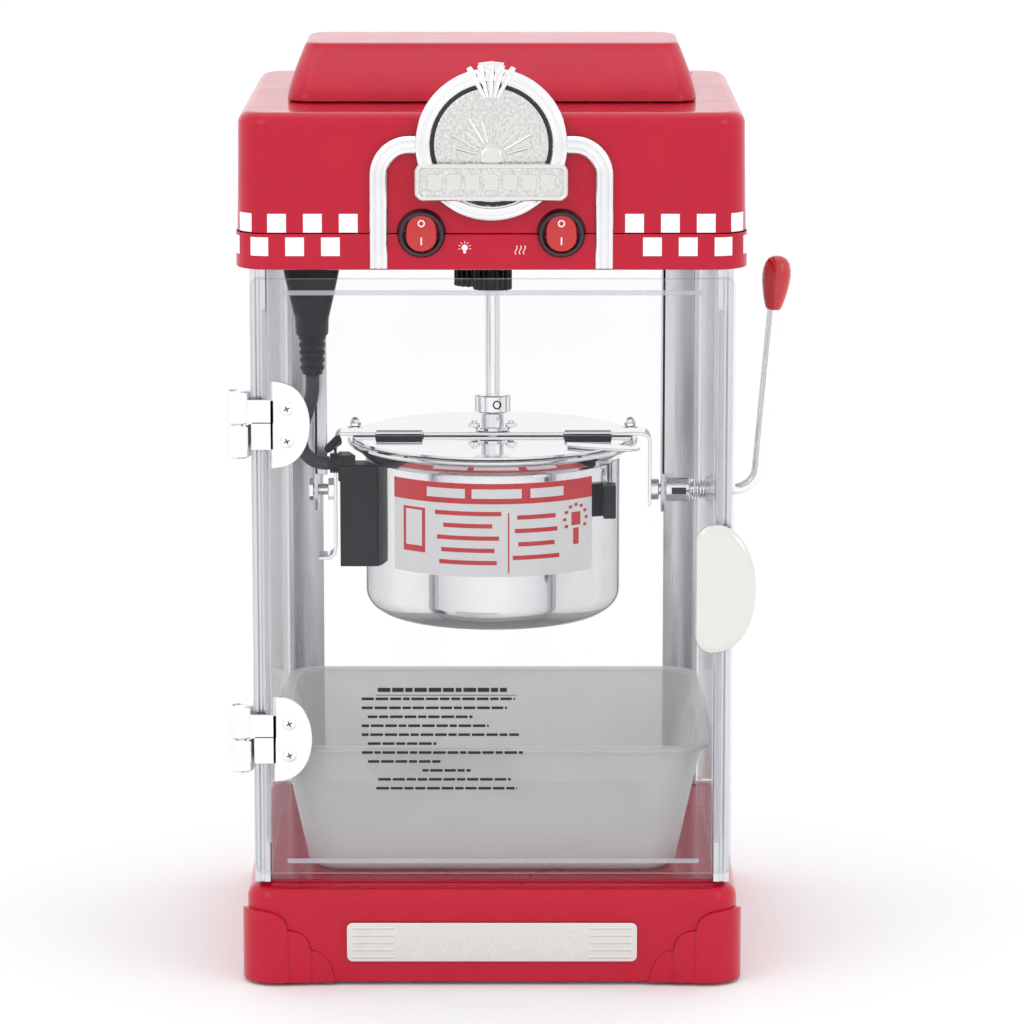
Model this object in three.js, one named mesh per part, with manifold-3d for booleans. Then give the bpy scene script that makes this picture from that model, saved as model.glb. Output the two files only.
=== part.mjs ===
// A tabletop popcorn maker: a cabinet of clear panels between a red base and a red
// canopy, with a kettle that tips on two hangers, a geared stirrer and a hinged door.
// Millimetres. X runs to the right, Y to the back and Z up. The origin is on the table,
// under the middle of the cabinet.
import * as THREE from 'three';
import { mergeVertices } from 'three/addons/utils/BufferGeometryUtils.js';
import Module from 'manifold-3d';

const wasm = await Module();
wasm.setup();

// ---------------------------------------------------------------- driving dimensions
const GAP = 0.3;                 // between neighbours that touch
const FAR = 400;                 // longer than the object, for cutting blocks

const BASE = { width: 245, depth: 229, bottom: 1.5, deck: 51.7, corner: 14, edge: 8, wall: 3 };
const FOOT = { radius: 8, inset: 24 };
const BOTTOM_PLATE = { bottom: 2.5, sheet: 2, embossWidth: 150, embossDepth: 130, emboss: 0.6 };
const PAD = {
  width: 250, depth: 234, corner: 16, reach: 46,
  lobes: [[46, 4], [34, 16.5], [23, 27], [6, 39.5]],  // reach from the corner, height
};
const INLET = { x: 60, z: 22, flange: 8, sleeve: 6, bore: 3.6 };
const NAMEPLATE = { width: 145, height: 20, z: 22.6, thickness: 2.4 };

const CANOPY = {
  width: 250, depth: 234, bottom: 360.8, seam: 378.6, deck: 437, corner: 17, wall: 2.5, step: 0.8,
};
const CEILING = { bottom: 363.7, top: 366.0 };
const CROWN = {
  width: 203, depth: 120, top: 464, topWidth: 186, topDepth: 68, corner: 12, wall: 2.5,
};

const FRONT_POST = { x: 114.4, width: 7.8, y: -102, depth: 16 };
const REAR_POST = { inner: 91.5, outer: 109.6, front: 93, back: 109, sheet: 2.5 };
const PANEL = { inner: 110, outer: 112 };
const COLUMN_TOP = CEILING.bottom - GAP;
const COLUMN_BOTTOM = BASE.deck + GAP;

const DOOR = { left: -117.7, right: 119, bottom: 57, top: 356, front: -113.5, thickness: 3 };
const HINGE = { x: -124.2, y: -112, radius: 6, pin: 2.4, height: 33.2, centres: [284.3, 126.4] };
const HANDLE = { left: 100.5, right: 130.2, bottom: 170, top: 234.7, thickness: 4 };

const PIVOT = { y: 14, z: 229 };
const DRUM = { radius: 66, bottom: 166, top: 247, wall: 1.7 };
const PAN = { radius: 63.8, bottom: 186.5, lip: 75, top: 256.5, wall: 1.6 };
const LID = { radius: 72.5, bottom: 256.8, thickness: 1.2, split: -10.6 };
const LID_HINGE = { y: -11, z: 260.1, radius: 1.8 };
const YOKE = { half: 82, width: 16, bottom: 258.3, sheet: 1.7, leftFoot: 194, rightFoot: 221 };
const PIN_RADIUS = 3;
const HANGER = {
  halfDepth: 9, sheet: 1.6, foot: 1.8, pinClearance: 0.4,
  left: { outer: -92, inner: -90, flange: -85.3, foot: -76, bottom: 218, flangeBottom: 236 },
  right: { outer: 87, inner: 88.6, flange: 94, foot: 103, bottom: 217, flangeBottom: 237 },
};

const SHAFT = { radius: 3.75, bottom: 189.5, top: 348.5 };
const GEAR = { teeth: 18, module: 1, bottom: 333.5, top: 345.4 };
const MOTOR_GEAR = { x: -10, y: 29.2 };

const LEVER = { rod: 3.1, bend: 137.2, lean: 5, knobBottom: 322.7, knobTop: 350.5 };
const COUPLER = { left: 89.3, right: 102, radius: 6.25, bore: 3.6, boreEnd: 98 };
const SPRING = { left: 102.5, right: 111.8, radius: 4.7, wire: 0.6, turns: 4 };

const SWITCH = { x: 34, z: 378.6, pivot: -116, flange: 12.6, sleeve: 11.9, tilt: 10 };
const ROCKER = { width: 15, height: 18.1, corner: 6, windowCorner: 5, clearance: 0.45 };
const MEDALLION = { radius: 37, z: 422.2, thickness: 3.2, fanRadius: 7, fanRise: 33.5 };
const BANNER = { width: 74, height: 18, corner: 4, z: 404.5, thickness: 2.4 };
const TRIM = { half: 54.8, width: 8.5, top: 426.2, thickness: 2, bend: 19 };
const LAMP = { x: 31, y: 20, radius: 9 };
const PLUG = { x: -92, y: -9 };
const CORD_RADIUS = 3.5;
const TRAY = {
  width: 218, depth: 190, y: -10, bottom: 52, top: 119.5, corner: 14, taper: 0.89, wall: 2,
};

// ---------------------------------------------------------------- materials
const material = (color, roughness, metalness, opacity = 1) => new THREE.MeshStandardMaterial({
  color, roughness, metalness, opacity, transparent: opacity < 1 });
const red = material(0xd01828, 0.18, 0);
const clear = material(0xeef2f4, 0.05, 0, 0.3);
const frosted = material(0xeceff2, 0.25, 0, 0.6);
const aluminium = material(0xc4c6c8, 0.32, 1);
const chrome = material(0xe8e8ea, 0.08, 1);
const steel = material(0xcfd0d2, 0.2, 1);
const blackPlastic = material(0x141416, 0.4, 0);
const redPlastic = material(0xd8101c, 0.25, 0);
const brass = material(0xc9a14a, 0.3, 1);
const rubber = material(0x202022, 0.8, 0);
const cable = material(0x2a2a2c, 0.6, 0);
const warmGlass = material(0xfff4dc, 0.1, 0, 0.6);

// ---------------------------------------------------------------- shape helpers
function solid(geometry) {
  const bare = geometry.clone();
  bare.deleteAttribute('normal');
  bare.deleteAttribute('uv');
  const merged = mergeVertices(bare, 1e-3);
  const index = merged.index.array;
  const corners = [];
  for (let i = 0; i < index.length; i += 3) {
    const [a, b, c] = [index[i], index[i + 1], index[i + 2]];
    if (a !== b && b !== c && c !== a) {
      corners.push(a, b, c);
    }
  }
  const triVerts = new Uint32Array(corners);
  const vertProperties = new Float32Array(merged.attributes.position.array);
  return new wasm.Manifold(new wasm.Mesh({ numProp: 3, vertProperties, triVerts }));
}

function geometryOf(body) {
  const mesh = body.getMesh();
  const geometry = new THREE.BufferGeometry();
  geometry.setAttribute('position', new THREE.BufferAttribute(new Float32Array(mesh.vertProperties), 3));
  geometry.setIndex(new THREE.BufferAttribute(new Uint32Array(mesh.triVerts), 1));
  geometry.computeVertexNormals();
  return geometry;
}

const join = (first, ...rest) => rest.reduce((body, next) => body.add(next), first);
const cut = (first, ...rest) => rest.reduce((body, next) => body.subtract(next), first);

const box = (x0, x1, y0, y1, z0, z1) => solid(new THREE.BoxGeometry(x1 - x0, y1 - y0, z1 - z0)
  .translate((x0 + x1) / 2, (y0 + y1) / 2, (z0 + z1) / 2));

function rodZ(radius, x, y, z0, z1, segments = 24) {
  const rod = new THREE.CylinderGeometry(radius, radius, z1 - z0, segments);
  return solid(rod.rotateX(Math.PI / 2).translate(x, y, (z0 + z1) / 2));
}

function rodX(radius, x0, x1, y, z, segments = 20) {
  const rod = new THREE.CylinderGeometry(radius, radius, x1 - x0, segments);
  return solid(rod.rotateZ(Math.PI / 2).translate((x0 + x1) / 2, y, z));
}

function rodY(radius, x, z, y0, y1, segments = 24) {
  const rod = new THREE.CylinderGeometry(radius, radius, y1 - y0, segments);
  return solid(rod.translate(x, (y0 + y1) / 2, z));
}

function roundedRect(width, height, radius, x = 0, y = 0) {
  const [w, h] = [width / 2, height / 2];
  const shape = new THREE.Shape();
  shape.absarc(x + w - radius, y - h + radius, radius, -Math.PI / 2, 0);
  shape.absarc(x + w - radius, y + h - radius, radius, 0, Math.PI / 2);
  shape.absarc(x - w + radius, y + h - radius, radius, Math.PI / 2, Math.PI);
  shape.absarc(x - w + radius, y - h + radius, radius, Math.PI, Math.PI * 1.5);
  shape.closePath();
  return shape;
}

// A shape in the XY plane, raised along Z.
function raise(shape, z0, z1, segments = 2) {
  const options = { depth: z1 - z0, bevelEnabled: false, curveSegments: segments };
  return solid(new THREE.ExtrudeGeometry(shape, options).translate(0, 0, z0));
}

// A shape drawn as X and Z, thickened from front to back.
function upright(shape, front, back, segments = 3) {
  const options = { depth: back - front, bevelEnabled: false, curveSegments: segments };
  return solid(new THREE.ExtrudeGeometry(shape, options).rotateX(Math.PI / 2).translate(0, back, 0));
}

// A shape drawn as Y and Z, thickened along X.
function sideways(shape, left, right, segments = 3) {
  const options = { depth: right - left, bevelEnabled: false, curveSegments: segments };
  const geometry = new THREE.ExtrudeGeometry(shape, options);
  return solid(geometry.rotateX(Math.PI / 2).rotateZ(Math.PI / 2).translate(left, 0, 0));
}

// A block with upright corners of one radius and a rounded top edge, narrowing upwards.
function softBlock(width, depth, z0, z1, corner, edge, topWidth = width, topDepth = depth) {
  const height = z1 - z0;
  const geometry = new THREE.ExtrudeGeometry(roundedRect(width, depth, corner), {
    depth: height - edge, bevelThickness: edge, bevelSize: edge, bevelOffset: -edge,
    bevelSegments: 2, curveSegments: 2 });
  const position = geometry.attributes.position;
  for (let i = 0; i < position.count; i += 1) {
    const rise = Math.max(position.getZ(i), 0) / height;
    position.setX(i, position.getX(i) * (1 + rise * (topWidth / width - 1)));
    position.setY(i, position.getY(i) * (1 + rise * (topDepth / depth - 1)));
  }
  const block = solid(geometry);
  return block.subtract(box(-FAR, FAR, -FAR, FAR, -FAR, 0)).translate([0, 0, z0]);
}

function lathe(profile, segments = 32) {
  const points = profile.map(([r, z]) => new THREE.Vector2(r, z));
  return solid(new THREE.LatheGeometry(points, segments).rotateX(Math.PI / 2));
}

function tube(curve, radius, sides, steps) {
  const section = new THREE.Shape();
  section.absarc(0, 0, radius, 0, Math.PI * 2);
  return solid(new THREE.ExtrudeGeometry(section, {
    extrudePath: curve, steps, bevelEnabled: false, curveSegments: sides / 2 }));
}

const object = new THREE.Group();

function newGroup(x, y, z, parent = object) {
  const group = new THREE.Group();
  group.position.set(x, y, z);
  parent.add(group);
  return group;
}

function place(name, body, finish, group = object, position = [0, 0, 0]) {
  const mesh = new THREE.Mesh(geometryOf(body), finish);
  mesh.name = name;
  mesh.position.set(...position);
  group.add(mesh);
}

// ---------------------------------------------------------------- base
function addBase() {
  const outer = softBlock(BASE.width, BASE.depth, BASE.bottom, BASE.deck, BASE.corner, BASE.edge);
  const twice = 2 * BASE.wall;
  const mouth = roundedRect(BASE.width - twice, BASE.depth - twice, BASE.corner - BASE.wall);
  const inside = raise(mouth, -1, BASE.deck - BASE.edge);
  const flat = roundedRect(BASE.width - 4 * BASE.edge, BASE.depth - 4 * BASE.edge, BASE.corner);
  const deckPocket = raise(flat, BASE.bottom, BASE.deck - BASE.wall);
  const inlet = rodY(INLET.sleeve + 0.4, INLET.x, INLET.z, 100, FAR / 2);
  place('base_shell', cut(outer, inside, deckPocket, inlet), red);

  // The plate's middle is pressed down a little, which stiffens it and gives the rest face.
  const inset = 2 * (BASE.wall + GAP);
  const { bottom, sheet, emboss, embossWidth, embossDepth } = BOTTOM_PLATE;
  const outline = roundedRect(BASE.width - inset, BASE.depth - inset, BASE.corner - BASE.wall);
  const pressed = raise(roundedRect(embossWidth, embossDepth, 10), bottom - emboss, bottom + 1);
  place('bottom_plate', join(raise(outline, bottom, bottom + sheet), pressed), steel);

  const [footX, footY] = [BASE.width / 2 - FOOT.inset, BASE.depth / 2 - FOOT.inset];
  for (const [side, sx] of [['left', -1], ['right', 1]]) {
    for (const [end, sy] of [['front', -1], ['rear', 1]]) {
      const foot = rodZ(FOOT.radius, 0, 0, 0, bottom - GAP);
      place(`foot_${end}_${side}`, foot, rubber, object, [sx * footX, sy * footY, 0]);
      place(`corner_pad_${end}_${side}`, cornerPad(sx, sy), red);
    }
  }

  const front = -BASE.depth / 2 - GAP;
  const face = roundedRect(NAMEPLATE.width, NAMEPLATE.height, 3, 0, NAMEPLATE.z);
  place('nameplate', upright(face, front - NAMEPLATE.thickness, front), chrome);

  const rear = BASE.depth / 2;
  const gland = join(
    rodY(INLET.flange, INLET.x, INLET.z, rear + GAP, rear + 2.5),
    rodY(INLET.sleeve, INLET.x, INLET.z, rear - 6, rear + 1));
  const bore = rodY(INLET.bore, INLET.x, INLET.z, rear - 10, rear + 10);
  place('mains_inlet', cut(gland, bore), blackPlastic);
}

// Three quarter-round steps that fall away from each bottom corner along both faces.
function padProfile(sign, half) {
  const [first, ...steps] = PAD.lobes;
  const shape = new THREE.Shape();
  const across = (reach) => sign * (half - reach);
  shape.moveTo(across(0), BASE.bottom);
  shape.lineTo(across(first[0]), BASE.bottom);
  shape.lineTo(across(first[0]), first[1]);
  let reach = first[0];
  for (const [nextReach, height] of steps) {
    shape.quadraticCurveTo(across(reach), height, across(nextReach), height);
    reach = nextReach;
  }
  shape.lineTo(across(0), steps[steps.length - 1][1]);
  shape.closePath();
  return shape;
}

function cornerPad(sx, sy) {
  const [halfX, halfY] = [PAD.width / 2, PAD.depth / 2];
  const along = (sign, half) => [sign * half, sign * (half - PAD.reach)].sort((a, b) => a - b);
  const fromFront = upright(padProfile(sx, halfX), ...along(sy, halfY));
  const fromSide = sideways(padProfile(sy, halfY), ...along(sx, halfX));
  const outline = raise(roundedRect(PAD.width, PAD.depth, PAD.corner), 0, BASE.deck);
  const inner = roundedRect(BASE.width + 2 * GAP, BASE.depth + 2 * GAP, BASE.corner + GAP);
  const core = raise(inner, -1, BASE.deck + 1);
  return fromFront.intersect(fromSide).intersect(outline).subtract(core);
}

// ---------------------------------------------------------------- columns and panels
function addCabinetWalls() {
  for (const [side, sign] of [['left', -1], ['right', 1]]) {
    const front = roundedRect(FRONT_POST.width, FRONT_POST.depth, 1.2);
    place(`post_front_${side}`, raise(front, COLUMN_BOTTOM, COLUMN_TOP, 1), aluminium, object,
      [sign * FRONT_POST.x, FRONT_POST.y, 0]);
    const [x0, x1] = [sign * REAR_POST.inner, sign * REAR_POST.outer].sort((a, b) => a - b);
    const flange = box(x0, x1, REAR_POST.back - REAR_POST.sheet, REAR_POST.back, COLUMN_BOTTOM, COLUMN_TOP);
    const outer = sign * REAR_POST.outer;
    const [w0, w1] = [outer, outer - sign * REAR_POST.sheet].sort((a, b) => a - b);
    const web = box(w0, w1, REAR_POST.front, REAR_POST.back, COLUMN_BOTTOM, COLUMN_TOP);
    place(`post_rear_${side}`, join(flange, web), aluminium);

    const [p0, p1] = [sign * PANEL.inner, sign * PANEL.outer].sort((a, b) => a - b);
    const behindPost = FRONT_POST.y + FRONT_POST.depth / 2 + GAP;
    let panel = box(p0, p1, behindPost, REAR_POST.back, COLUMN_BOTTOM, COLUMN_TOP);
    if (sign > 0) {
      panel = cut(panel, rodX(6.6, PANEL.inner - 5, PANEL.outer + 5, PIVOT.y, PIVOT.z, 24));
    }
    place(`side_panel_${side}`, panel, clear);
  }
  const rear = REAR_POST.back + GAP;
  const back = box(-PANEL.outer, PANEL.outer, rear, rear + 2.2, COLUMN_BOTTOM, COLUMN_TOP);
  place('back_panel', back, clear);
}

// ---------------------------------------------------------------- canopy
function addCanopy() {
  const sleeves = [-1, 1].map((sign) =>
    rodY(SWITCH.sleeve + GAP, sign * SWITCH.x, SWITCH.z, -FAR / 2, -105, 24));
  const skirtOutline = roundedRect(CANOPY.width, CANOPY.depth, CANOPY.corner);
  const skirtOuter = raise(skirtOutline, CANOPY.bottom, CANOPY.seam - GAP, 3);
  const skirtInner = raise(roundedRect(CANOPY.width - 2 * CANOPY.wall, CANOPY.depth - 2 * CANOPY.wall,
    CANOPY.corner - CANOPY.wall), CANOPY.bottom - 1, CANOPY.seam + 1, 3);
  place('canopy_skirt', cut(skirtOuter, skirtInner, ...sleeves), red);

  const [width, depth] = [CANOPY.width - 2 * CANOPY.step, CANOPY.depth - 2 * CANOPY.step];
  const cap = softBlock(width, depth, CANOPY.seam, CANOPY.deck, CANOPY.corner, 5, width - 1.5,
    depth - 1.5);
  const [innerWidth, innerDepth] = [width - 2 * CANOPY.wall, depth - 2 * CANOPY.wall];
  const innerCorner = CANOPY.corner - CANOPY.wall;
  const hollow = softBlock(innerWidth, innerDepth, CANOPY.seam, CANOPY.deck - CANOPY.wall,
    innerCorner, 4);
  const mouth = raise(roundedRect(innerWidth, innerDepth, innerCorner), CANOPY.seam - 1,
    CANOPY.seam + 1);
  place('canopy_shell', cut(cap, hollow, mouth, ...sleeves), red);

  const foot = CANOPY.deck + GAP;
  const crown = softBlock(CROWN.width, CROWN.depth, foot, CROWN.top, CROWN.corner, 4,
    CROWN.topWidth, CROWN.topDepth);
  const twice = 2 * CROWN.wall;
  const inside = softBlock(CROWN.width - twice, CROWN.depth - twice, foot, CROWN.top - CROWN.wall,
    CROWN.corner - CROWN.wall, 3, CROWN.topWidth - twice, CROWN.topDepth - twice);
  const crownMouth = roundedRect(CROWN.width - twice, CROWN.depth - twice,
    CROWN.corner - CROWN.wall);
  const opening = raise(crownMouth, foot - 1, foot + 0.5);
  place('crown', cut(crown, inside, opening), red);

  const inset = 2 * (CANOPY.wall + GAP);
  const plate = roundedRect(CANOPY.width - inset, CANOPY.depth - inset, innerCorner);
  const ceiling = raise(plate, CEILING.bottom, CEILING.top);
  const shaftHole = rodZ(6, MOTOR_GEAR.x, MOTOR_GEAR.y, CEILING.bottom - 1, CEILING.top + 1);
  const lampHole = rodZ(LAMP.radius + 0.6, LAMP.x, LAMP.y, CEILING.bottom - 1, CEILING.top + 1);
  place('ceiling_plate', cut(ceiling, shaftHole, lampHole), steel);
}

function addFrontTrim() {
  const wall = -CANOPY.depth / 2;
  const trimBack = wall - GAP;
  const trimFront = trimBack - TRIM.thickness;
  const { half, width, top, bend } = TRIM;
  for (const [side, sign] of [['left', -1], ['right', 1]]) {
    const shape = new THREE.Shape();
    shape.moveTo(sign * (half + width / 2), CANOPY.bottom + 1);
    shape.lineTo(sign * (half + width / 2), top - bend);
    shape.quadraticCurveTo(sign * (half + width / 2), top, sign * (half + width / 2 - bend), top);
    shape.lineTo(sign * 20, top);
    shape.lineTo(sign * 20, top - width);
    shape.lineTo(sign * (half + width / 2 - bend), top - width);
    shape.quadraticCurveTo(sign * (half - width / 2), top - width,
      sign * (half - width / 2), top - bend);
    shape.lineTo(sign * (half - width / 2), CANOPY.bottom + 1);
    shape.closePath();
    place(`trim_${side}`, upright(shape, trimFront, trimBack, 4), chrome);
  }

  const discBack = trimFront - GAP;
  const discFront = discBack - MEDALLION.thickness;
  const disc = rodY(MEDALLION.radius, 0, MEDALLION.z, discFront, discBack, 48);
  const fanZ = MEDALLION.z + MEDALLION.fanRise;
  const fan = rodY(MEDALLION.fanRadius, 0, fanZ, discFront, discBack, 24);
  place('badge_medallion', join(disc, fan), chrome);
  const banner = roundedRect(BANNER.width, BANNER.height, BANNER.corner, 0, BANNER.z);
  const bannerBack = discFront - GAP;
  place('badge_banner', upright(banner, bannerBack - BANNER.thickness, bannerBack), chrome);
}

// Round bezel with a window, and a rocker that turns about X inside it.
function addSwitches() {
  const face = -CANOPY.depth / 2 - GAP;
  for (const [name, sign] of [['light', -1], ['heat', 1]]) {
    const flange = rodY(SWITCH.flange, 0, 0, face - 2.5, face, 24);
    const sleeve = rodY(SWITCH.sleeve, 0, 0, face - 1, -100, 24);
    const { width, height, corner, windowCorner, clearance } = ROCKER;
    const opening = roundedRect(width + 2 * clearance, height + 2 * clearance, windowCorner);
    const window = upright(opening, -FAR / 2, 0);
    place(`bezel_${name}`, cut(join(flange, sleeve), window), blackPlastic, object,
      [sign * SWITCH.x, 0, SWITCH.z]);

    const profile = new THREE.Shape([[-4, 8.6], [-3.2, 0], [-4, -8.6], [0, -9], [5, -6], [5, 6], [0, 9]]
      .map(([y, z]) => new THREE.Vector2(y, z)));
    const outline = upright(roundedRect(width, height, corner), -20, 20);
    const rocker = sideways(profile, -width / 2, width / 2).intersect(outline);
    const group = newGroup(sign * SWITCH.x, SWITCH.pivot, SWITCH.z);
    group.rotation.x = THREE.MathUtils.degToRad(-SWITCH.tilt);
    place(`rocker_${name}`, rocker, redPlastic, group);
  }
}

// ---------------------------------------------------------------- door
function addDoor() {
  const door = newGroup(HINGE.x, HINGE.y, 0);
  const [x0, x1] = [DOOR.left - HINGE.x, DOOR.right - HINGE.x];
  const front = DOOR.front - HINGE.y;
  const height = DOOR.top - DOOR.bottom;
  const sheet = roundedRect(x1 - x0, height, 4, (x0 + x1) / 2, DOOR.bottom + height / 2);
  place('door_panel', upright(sheet, front, front + DOOR.thickness, 2), clear, door);

  const handle = new THREE.Shape();
  const [left, right] = [HANDLE.left - HINGE.x, HANDLE.right - HINGE.x];
  const middle = (HANDLE.top + HANDLE.bottom) / 2;
  const half = (HANDLE.top - HANDLE.bottom) / 2;
  handle.moveTo(left, middle - half + 6);
  handle.quadraticCurveTo(left, middle - half, left + 8, middle - half);
  handle.bezierCurveTo(left + 14, middle - half, right, middle - 18, right, middle);
  handle.bezierCurveTo(right, middle + 18, left + 14, middle + half, left + 8, middle + half);
  handle.quadraticCurveTo(left, middle + half, left, middle + half - 6);
  handle.closePath();
  const handleBack = front - GAP;
  place('door_handle', upright(handle, handleBack - HANDLE.thickness, handleBack, 6), steel, door);

  for (const [index, name] of ['upper', 'lower'].entries()) {
    addDoorHinge(door, name, HINGE.centres[index], front - GAP);
  }
}

// A lift-off hinge: the door's knuckle stands on the pin of the knuckle fixed to the post.
function addDoorHinge(door, name, centre, leafBack) {
  const [low, high] = [centre - HINGE.height / 2, centre + HINGE.height / 2];
  const leafFront = leafBack - 2;
  const upperStrap = roundedRect(16.7, 12, 0.5, 8.35, centre + 6.3);
  const lowerStrap = roundedRect(10, 14, 0.5, 12.3, centre - 5.5);
  const oval = new THREE.Shape();
  oval.moveTo(16, centre - 21.5);
  oval.bezierCurveTo(30, centre - 21.5, 35.2, centre - 10, 35.2, centre);
  oval.bezierCurveTo(35.2, centre + 10, 30, centre + 21.5, 16, centre + 21.5);
  oval.closePath();
  const knuckle = rodZ(HINGE.radius, 0, 0, centre + GAP, high, 20);
  const bore = rodZ(HINGE.pin + 0.4, 0, 0, centre - 1, high - 2, 16);
  const plates = [upperStrap, lowerStrap].map((shape) => upright(shape, leafFront, leafBack, 1));
  const leaf = join(knuckle, upright(oval, leafFront, leafBack, 5), ...plates);
  place(`hinge_door_leaf_${name}`, leaf.subtract(bore), chrome, door);

  const fixed = join(
    rodZ(HINGE.radius, 0, 0, low, centre - GAP, 20),
    rodZ(HINGE.pin, 0, 0, centre - 2, high - 3, 16),
    box(4.1, 5.6, 0, 17, low, centre - GAP));
  place(`hinge_post_leaf_${name}`, fixed, chrome, object, [HINGE.x, HINGE.y, 0]);
}

// ---------------------------------------------------------------- kettle
function addKettle() {
  const kettle = newGroup(0, PIVOT.y, 0);
  const drum = lathe([
    [0, DRUM.bottom], [56, DRUM.bottom], [63, DRUM.bottom + 3], [DRUM.radius, DRUM.bottom + 10],
    [DRUM.radius, DRUM.top], [DRUM.radius - DRUM.wall, DRUM.top],
    [DRUM.radius - DRUM.wall, DRUM.bottom + 10.5],
    [61.8, DRUM.bottom + 4.6], [55.5, DRUM.bottom + DRUM.wall], [0, DRUM.bottom + DRUM.wall]]);
  place('kettle_drum', drum, steel, kettle);

  const inner = PAN.radius - PAN.wall;
  const pan = lathe([
    [0, PAN.bottom], [55, PAN.bottom], [61.5, PAN.bottom + 3], [PAN.radius, PAN.bottom + 8],
    [PAN.radius, DRUM.top + GAP], [DRUM.radius + 0.3, DRUM.top + GAP], [PAN.lip - 1, PAN.top - 4],
    [PAN.lip, PAN.top - 2], [PAN.lip - 0.8, PAN.top], [PAN.lip - 3, PAN.top], [inner, PAN.top - 6],
    [inner, PAN.bottom + 8.4], [60, PAN.bottom + 4], [54.4, PAN.bottom + 2], [0, PAN.bottom + 2]]);
  place('kettle_pan', pan, steel, kettle);

  const bushHole = rodZ(6.3, 0, 0, LID.bottom - 5, YOKE.bottom + 10, 20);
  const disc = rodZ(LID.radius, 0, 0, LID.bottom, LID.bottom + LID.thickness, 40);
  const ahead = box(-FAR, FAR, -FAR, LID.split, 0, FAR);
  const behind = box(-FAR, FAR, LID.split + GAP, FAR, 0, FAR);
  place('lid_rear', disc.intersect(behind).subtract(bushHole), steel, kettle);

  const flap = newGroup(0, LID_HINGE.y, LID_HINGE.z, kettle);
  let front = disc.intersect(ahead).translate([0, -LID_HINGE.y, -LID_HINGE.z]);
  for (const x of [-48, 49]) {
    const web = box(x - 11, x + 11, -1.2, 0.35, LID.bottom + 0.5 - LID_HINGE.z, -0.5);
    front = join(front, rodX(LID_HINGE.radius, x - 12, x + 12, 0, 0, 12), web);
  }
  place('lid_front', front, steel, flap);

  addYoke(kettle, bushHole);

  const bush = join(rodZ(6, 0, 0, 256, 269, 20), rodZ(9, 0, 0, YOKE.bottom + YOKE.sheet + GAP, 262.2, 24));
  place('stir_bush', cut(bush, rodZ(SHAFT.radius + 0.4, 0, 0, 250, 275, 20)), steel, kettle);

  const cover = join(
    box(-78, -50, -30, -11, 194, 246), box(-79, -60, -28, -16, 238, 251.5),
    rodX(5.2, -83.3, -70, -22, 246.5, 16));
  const keepClear = join(
    rodZ(DRUM.radius + 0.4, 0, 0, 150, 270, 48), rodZ(PAN.lip + 0.5, 0, 0, 246.6, 270, 48));
  place('socket_cover', cut(cover, keepClear), blackPlastic, kettle);
}

// Strap over the lid with a leg at each side, the pivot pins and their washers.
function addYoke(kettle, bushHole) {
  const { half, width, sheet, bottom } = YOKE;
  const [front, back] = [-width / 2, width / 2];
  const yoke = join(
    box(-half, half, front, back, bottom, bottom + sheet),
    box(-half, -half + sheet, front, back, YOKE.leftFoot, bottom + sheet),
    box(half - sheet, half, front, back, YOKE.rightFoot, bottom + sheet),
    box(-half - 8, -half + sheet, front + 3, back - 3, YOKE.leftFoot, YOKE.leftFoot + sheet),
    rodX(PIN_RADIUS, -95, -half + 0.5, 0, PIVOT.z, 16),
    rodX(PIN_RADIUS, half - 0.5, 96, 0, PIVOT.z, 16),
    rodX(5.8, -half - 3.2, -half + 0.5, 0, PIVOT.z, 6),
    rodX(5.8, half - 0.5, half + 4, 0, PIVOT.z, 16),
    rodX(5.8, -95, -92.6, 0, PIVOT.z, 6));
  place('kettle_yoke', cut(yoke, bushHole), steel, kettle);
}

// Each hanger is an angle of sheet: a side plate that holds the pin, and a front flange.
function addHangers() {
  const [front, back] = [PIVOT.y - HANGER.halfDepth, PIVOT.y + HANGER.halfDepth];
  const holeRadius = PIN_RADIUS + HANGER.pinClearance;
  const hole = rodX(holeRadius, -FAR / 2, FAR / 2, PIVOT.y, PIVOT.z, 20);
  for (const side of ['left', 'right']) {
    const { outer, inner, flange, foot, bottom, flangeBottom } = HANGER[side];
    const hanger = join(
      box(outer, inner, front, back, bottom, COLUMN_TOP),
      box(outer, flange, front, front + HANGER.sheet, flangeBottom, COLUMN_TOP),
      box(outer, foot, front, back, COLUMN_TOP - HANGER.foot, COLUMN_TOP));
    place(`hanger_${side}`, cut(hanger, hole), aluminium);
  }
}

// ---------------------------------------------------------------- stirrer and its drive
function gearBody(boreRadius, z0, z1, phase) {
  const { teeth, module: size } = GEAR;
  const [tip, root] = [(teeth / 2 + 1) * size, (teeth / 2 - 1.25) * size];
  const pitch = (Math.PI * 2) / teeth;
  const points = [];
  for (let tooth = 0; tooth < teeth; tooth += 1) {
    for (const [radius, turn] of [[root, -0.34], [tip, -0.13], [tip, 0.13], [root, 0.34]]) {
      const angle = phase + (tooth + turn) * pitch;
      points.push(new THREE.Vector2(radius * Math.cos(angle), radius * Math.sin(angle)));
    }
  }
  const wheel = raise(new THREE.Shape(points), z0, z1);
  return boreRadius ? cut(wheel, rodZ(boreRadius, 0, 0, z0 - 1, z1 + 1, 16)) : wheel;
}

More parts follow.
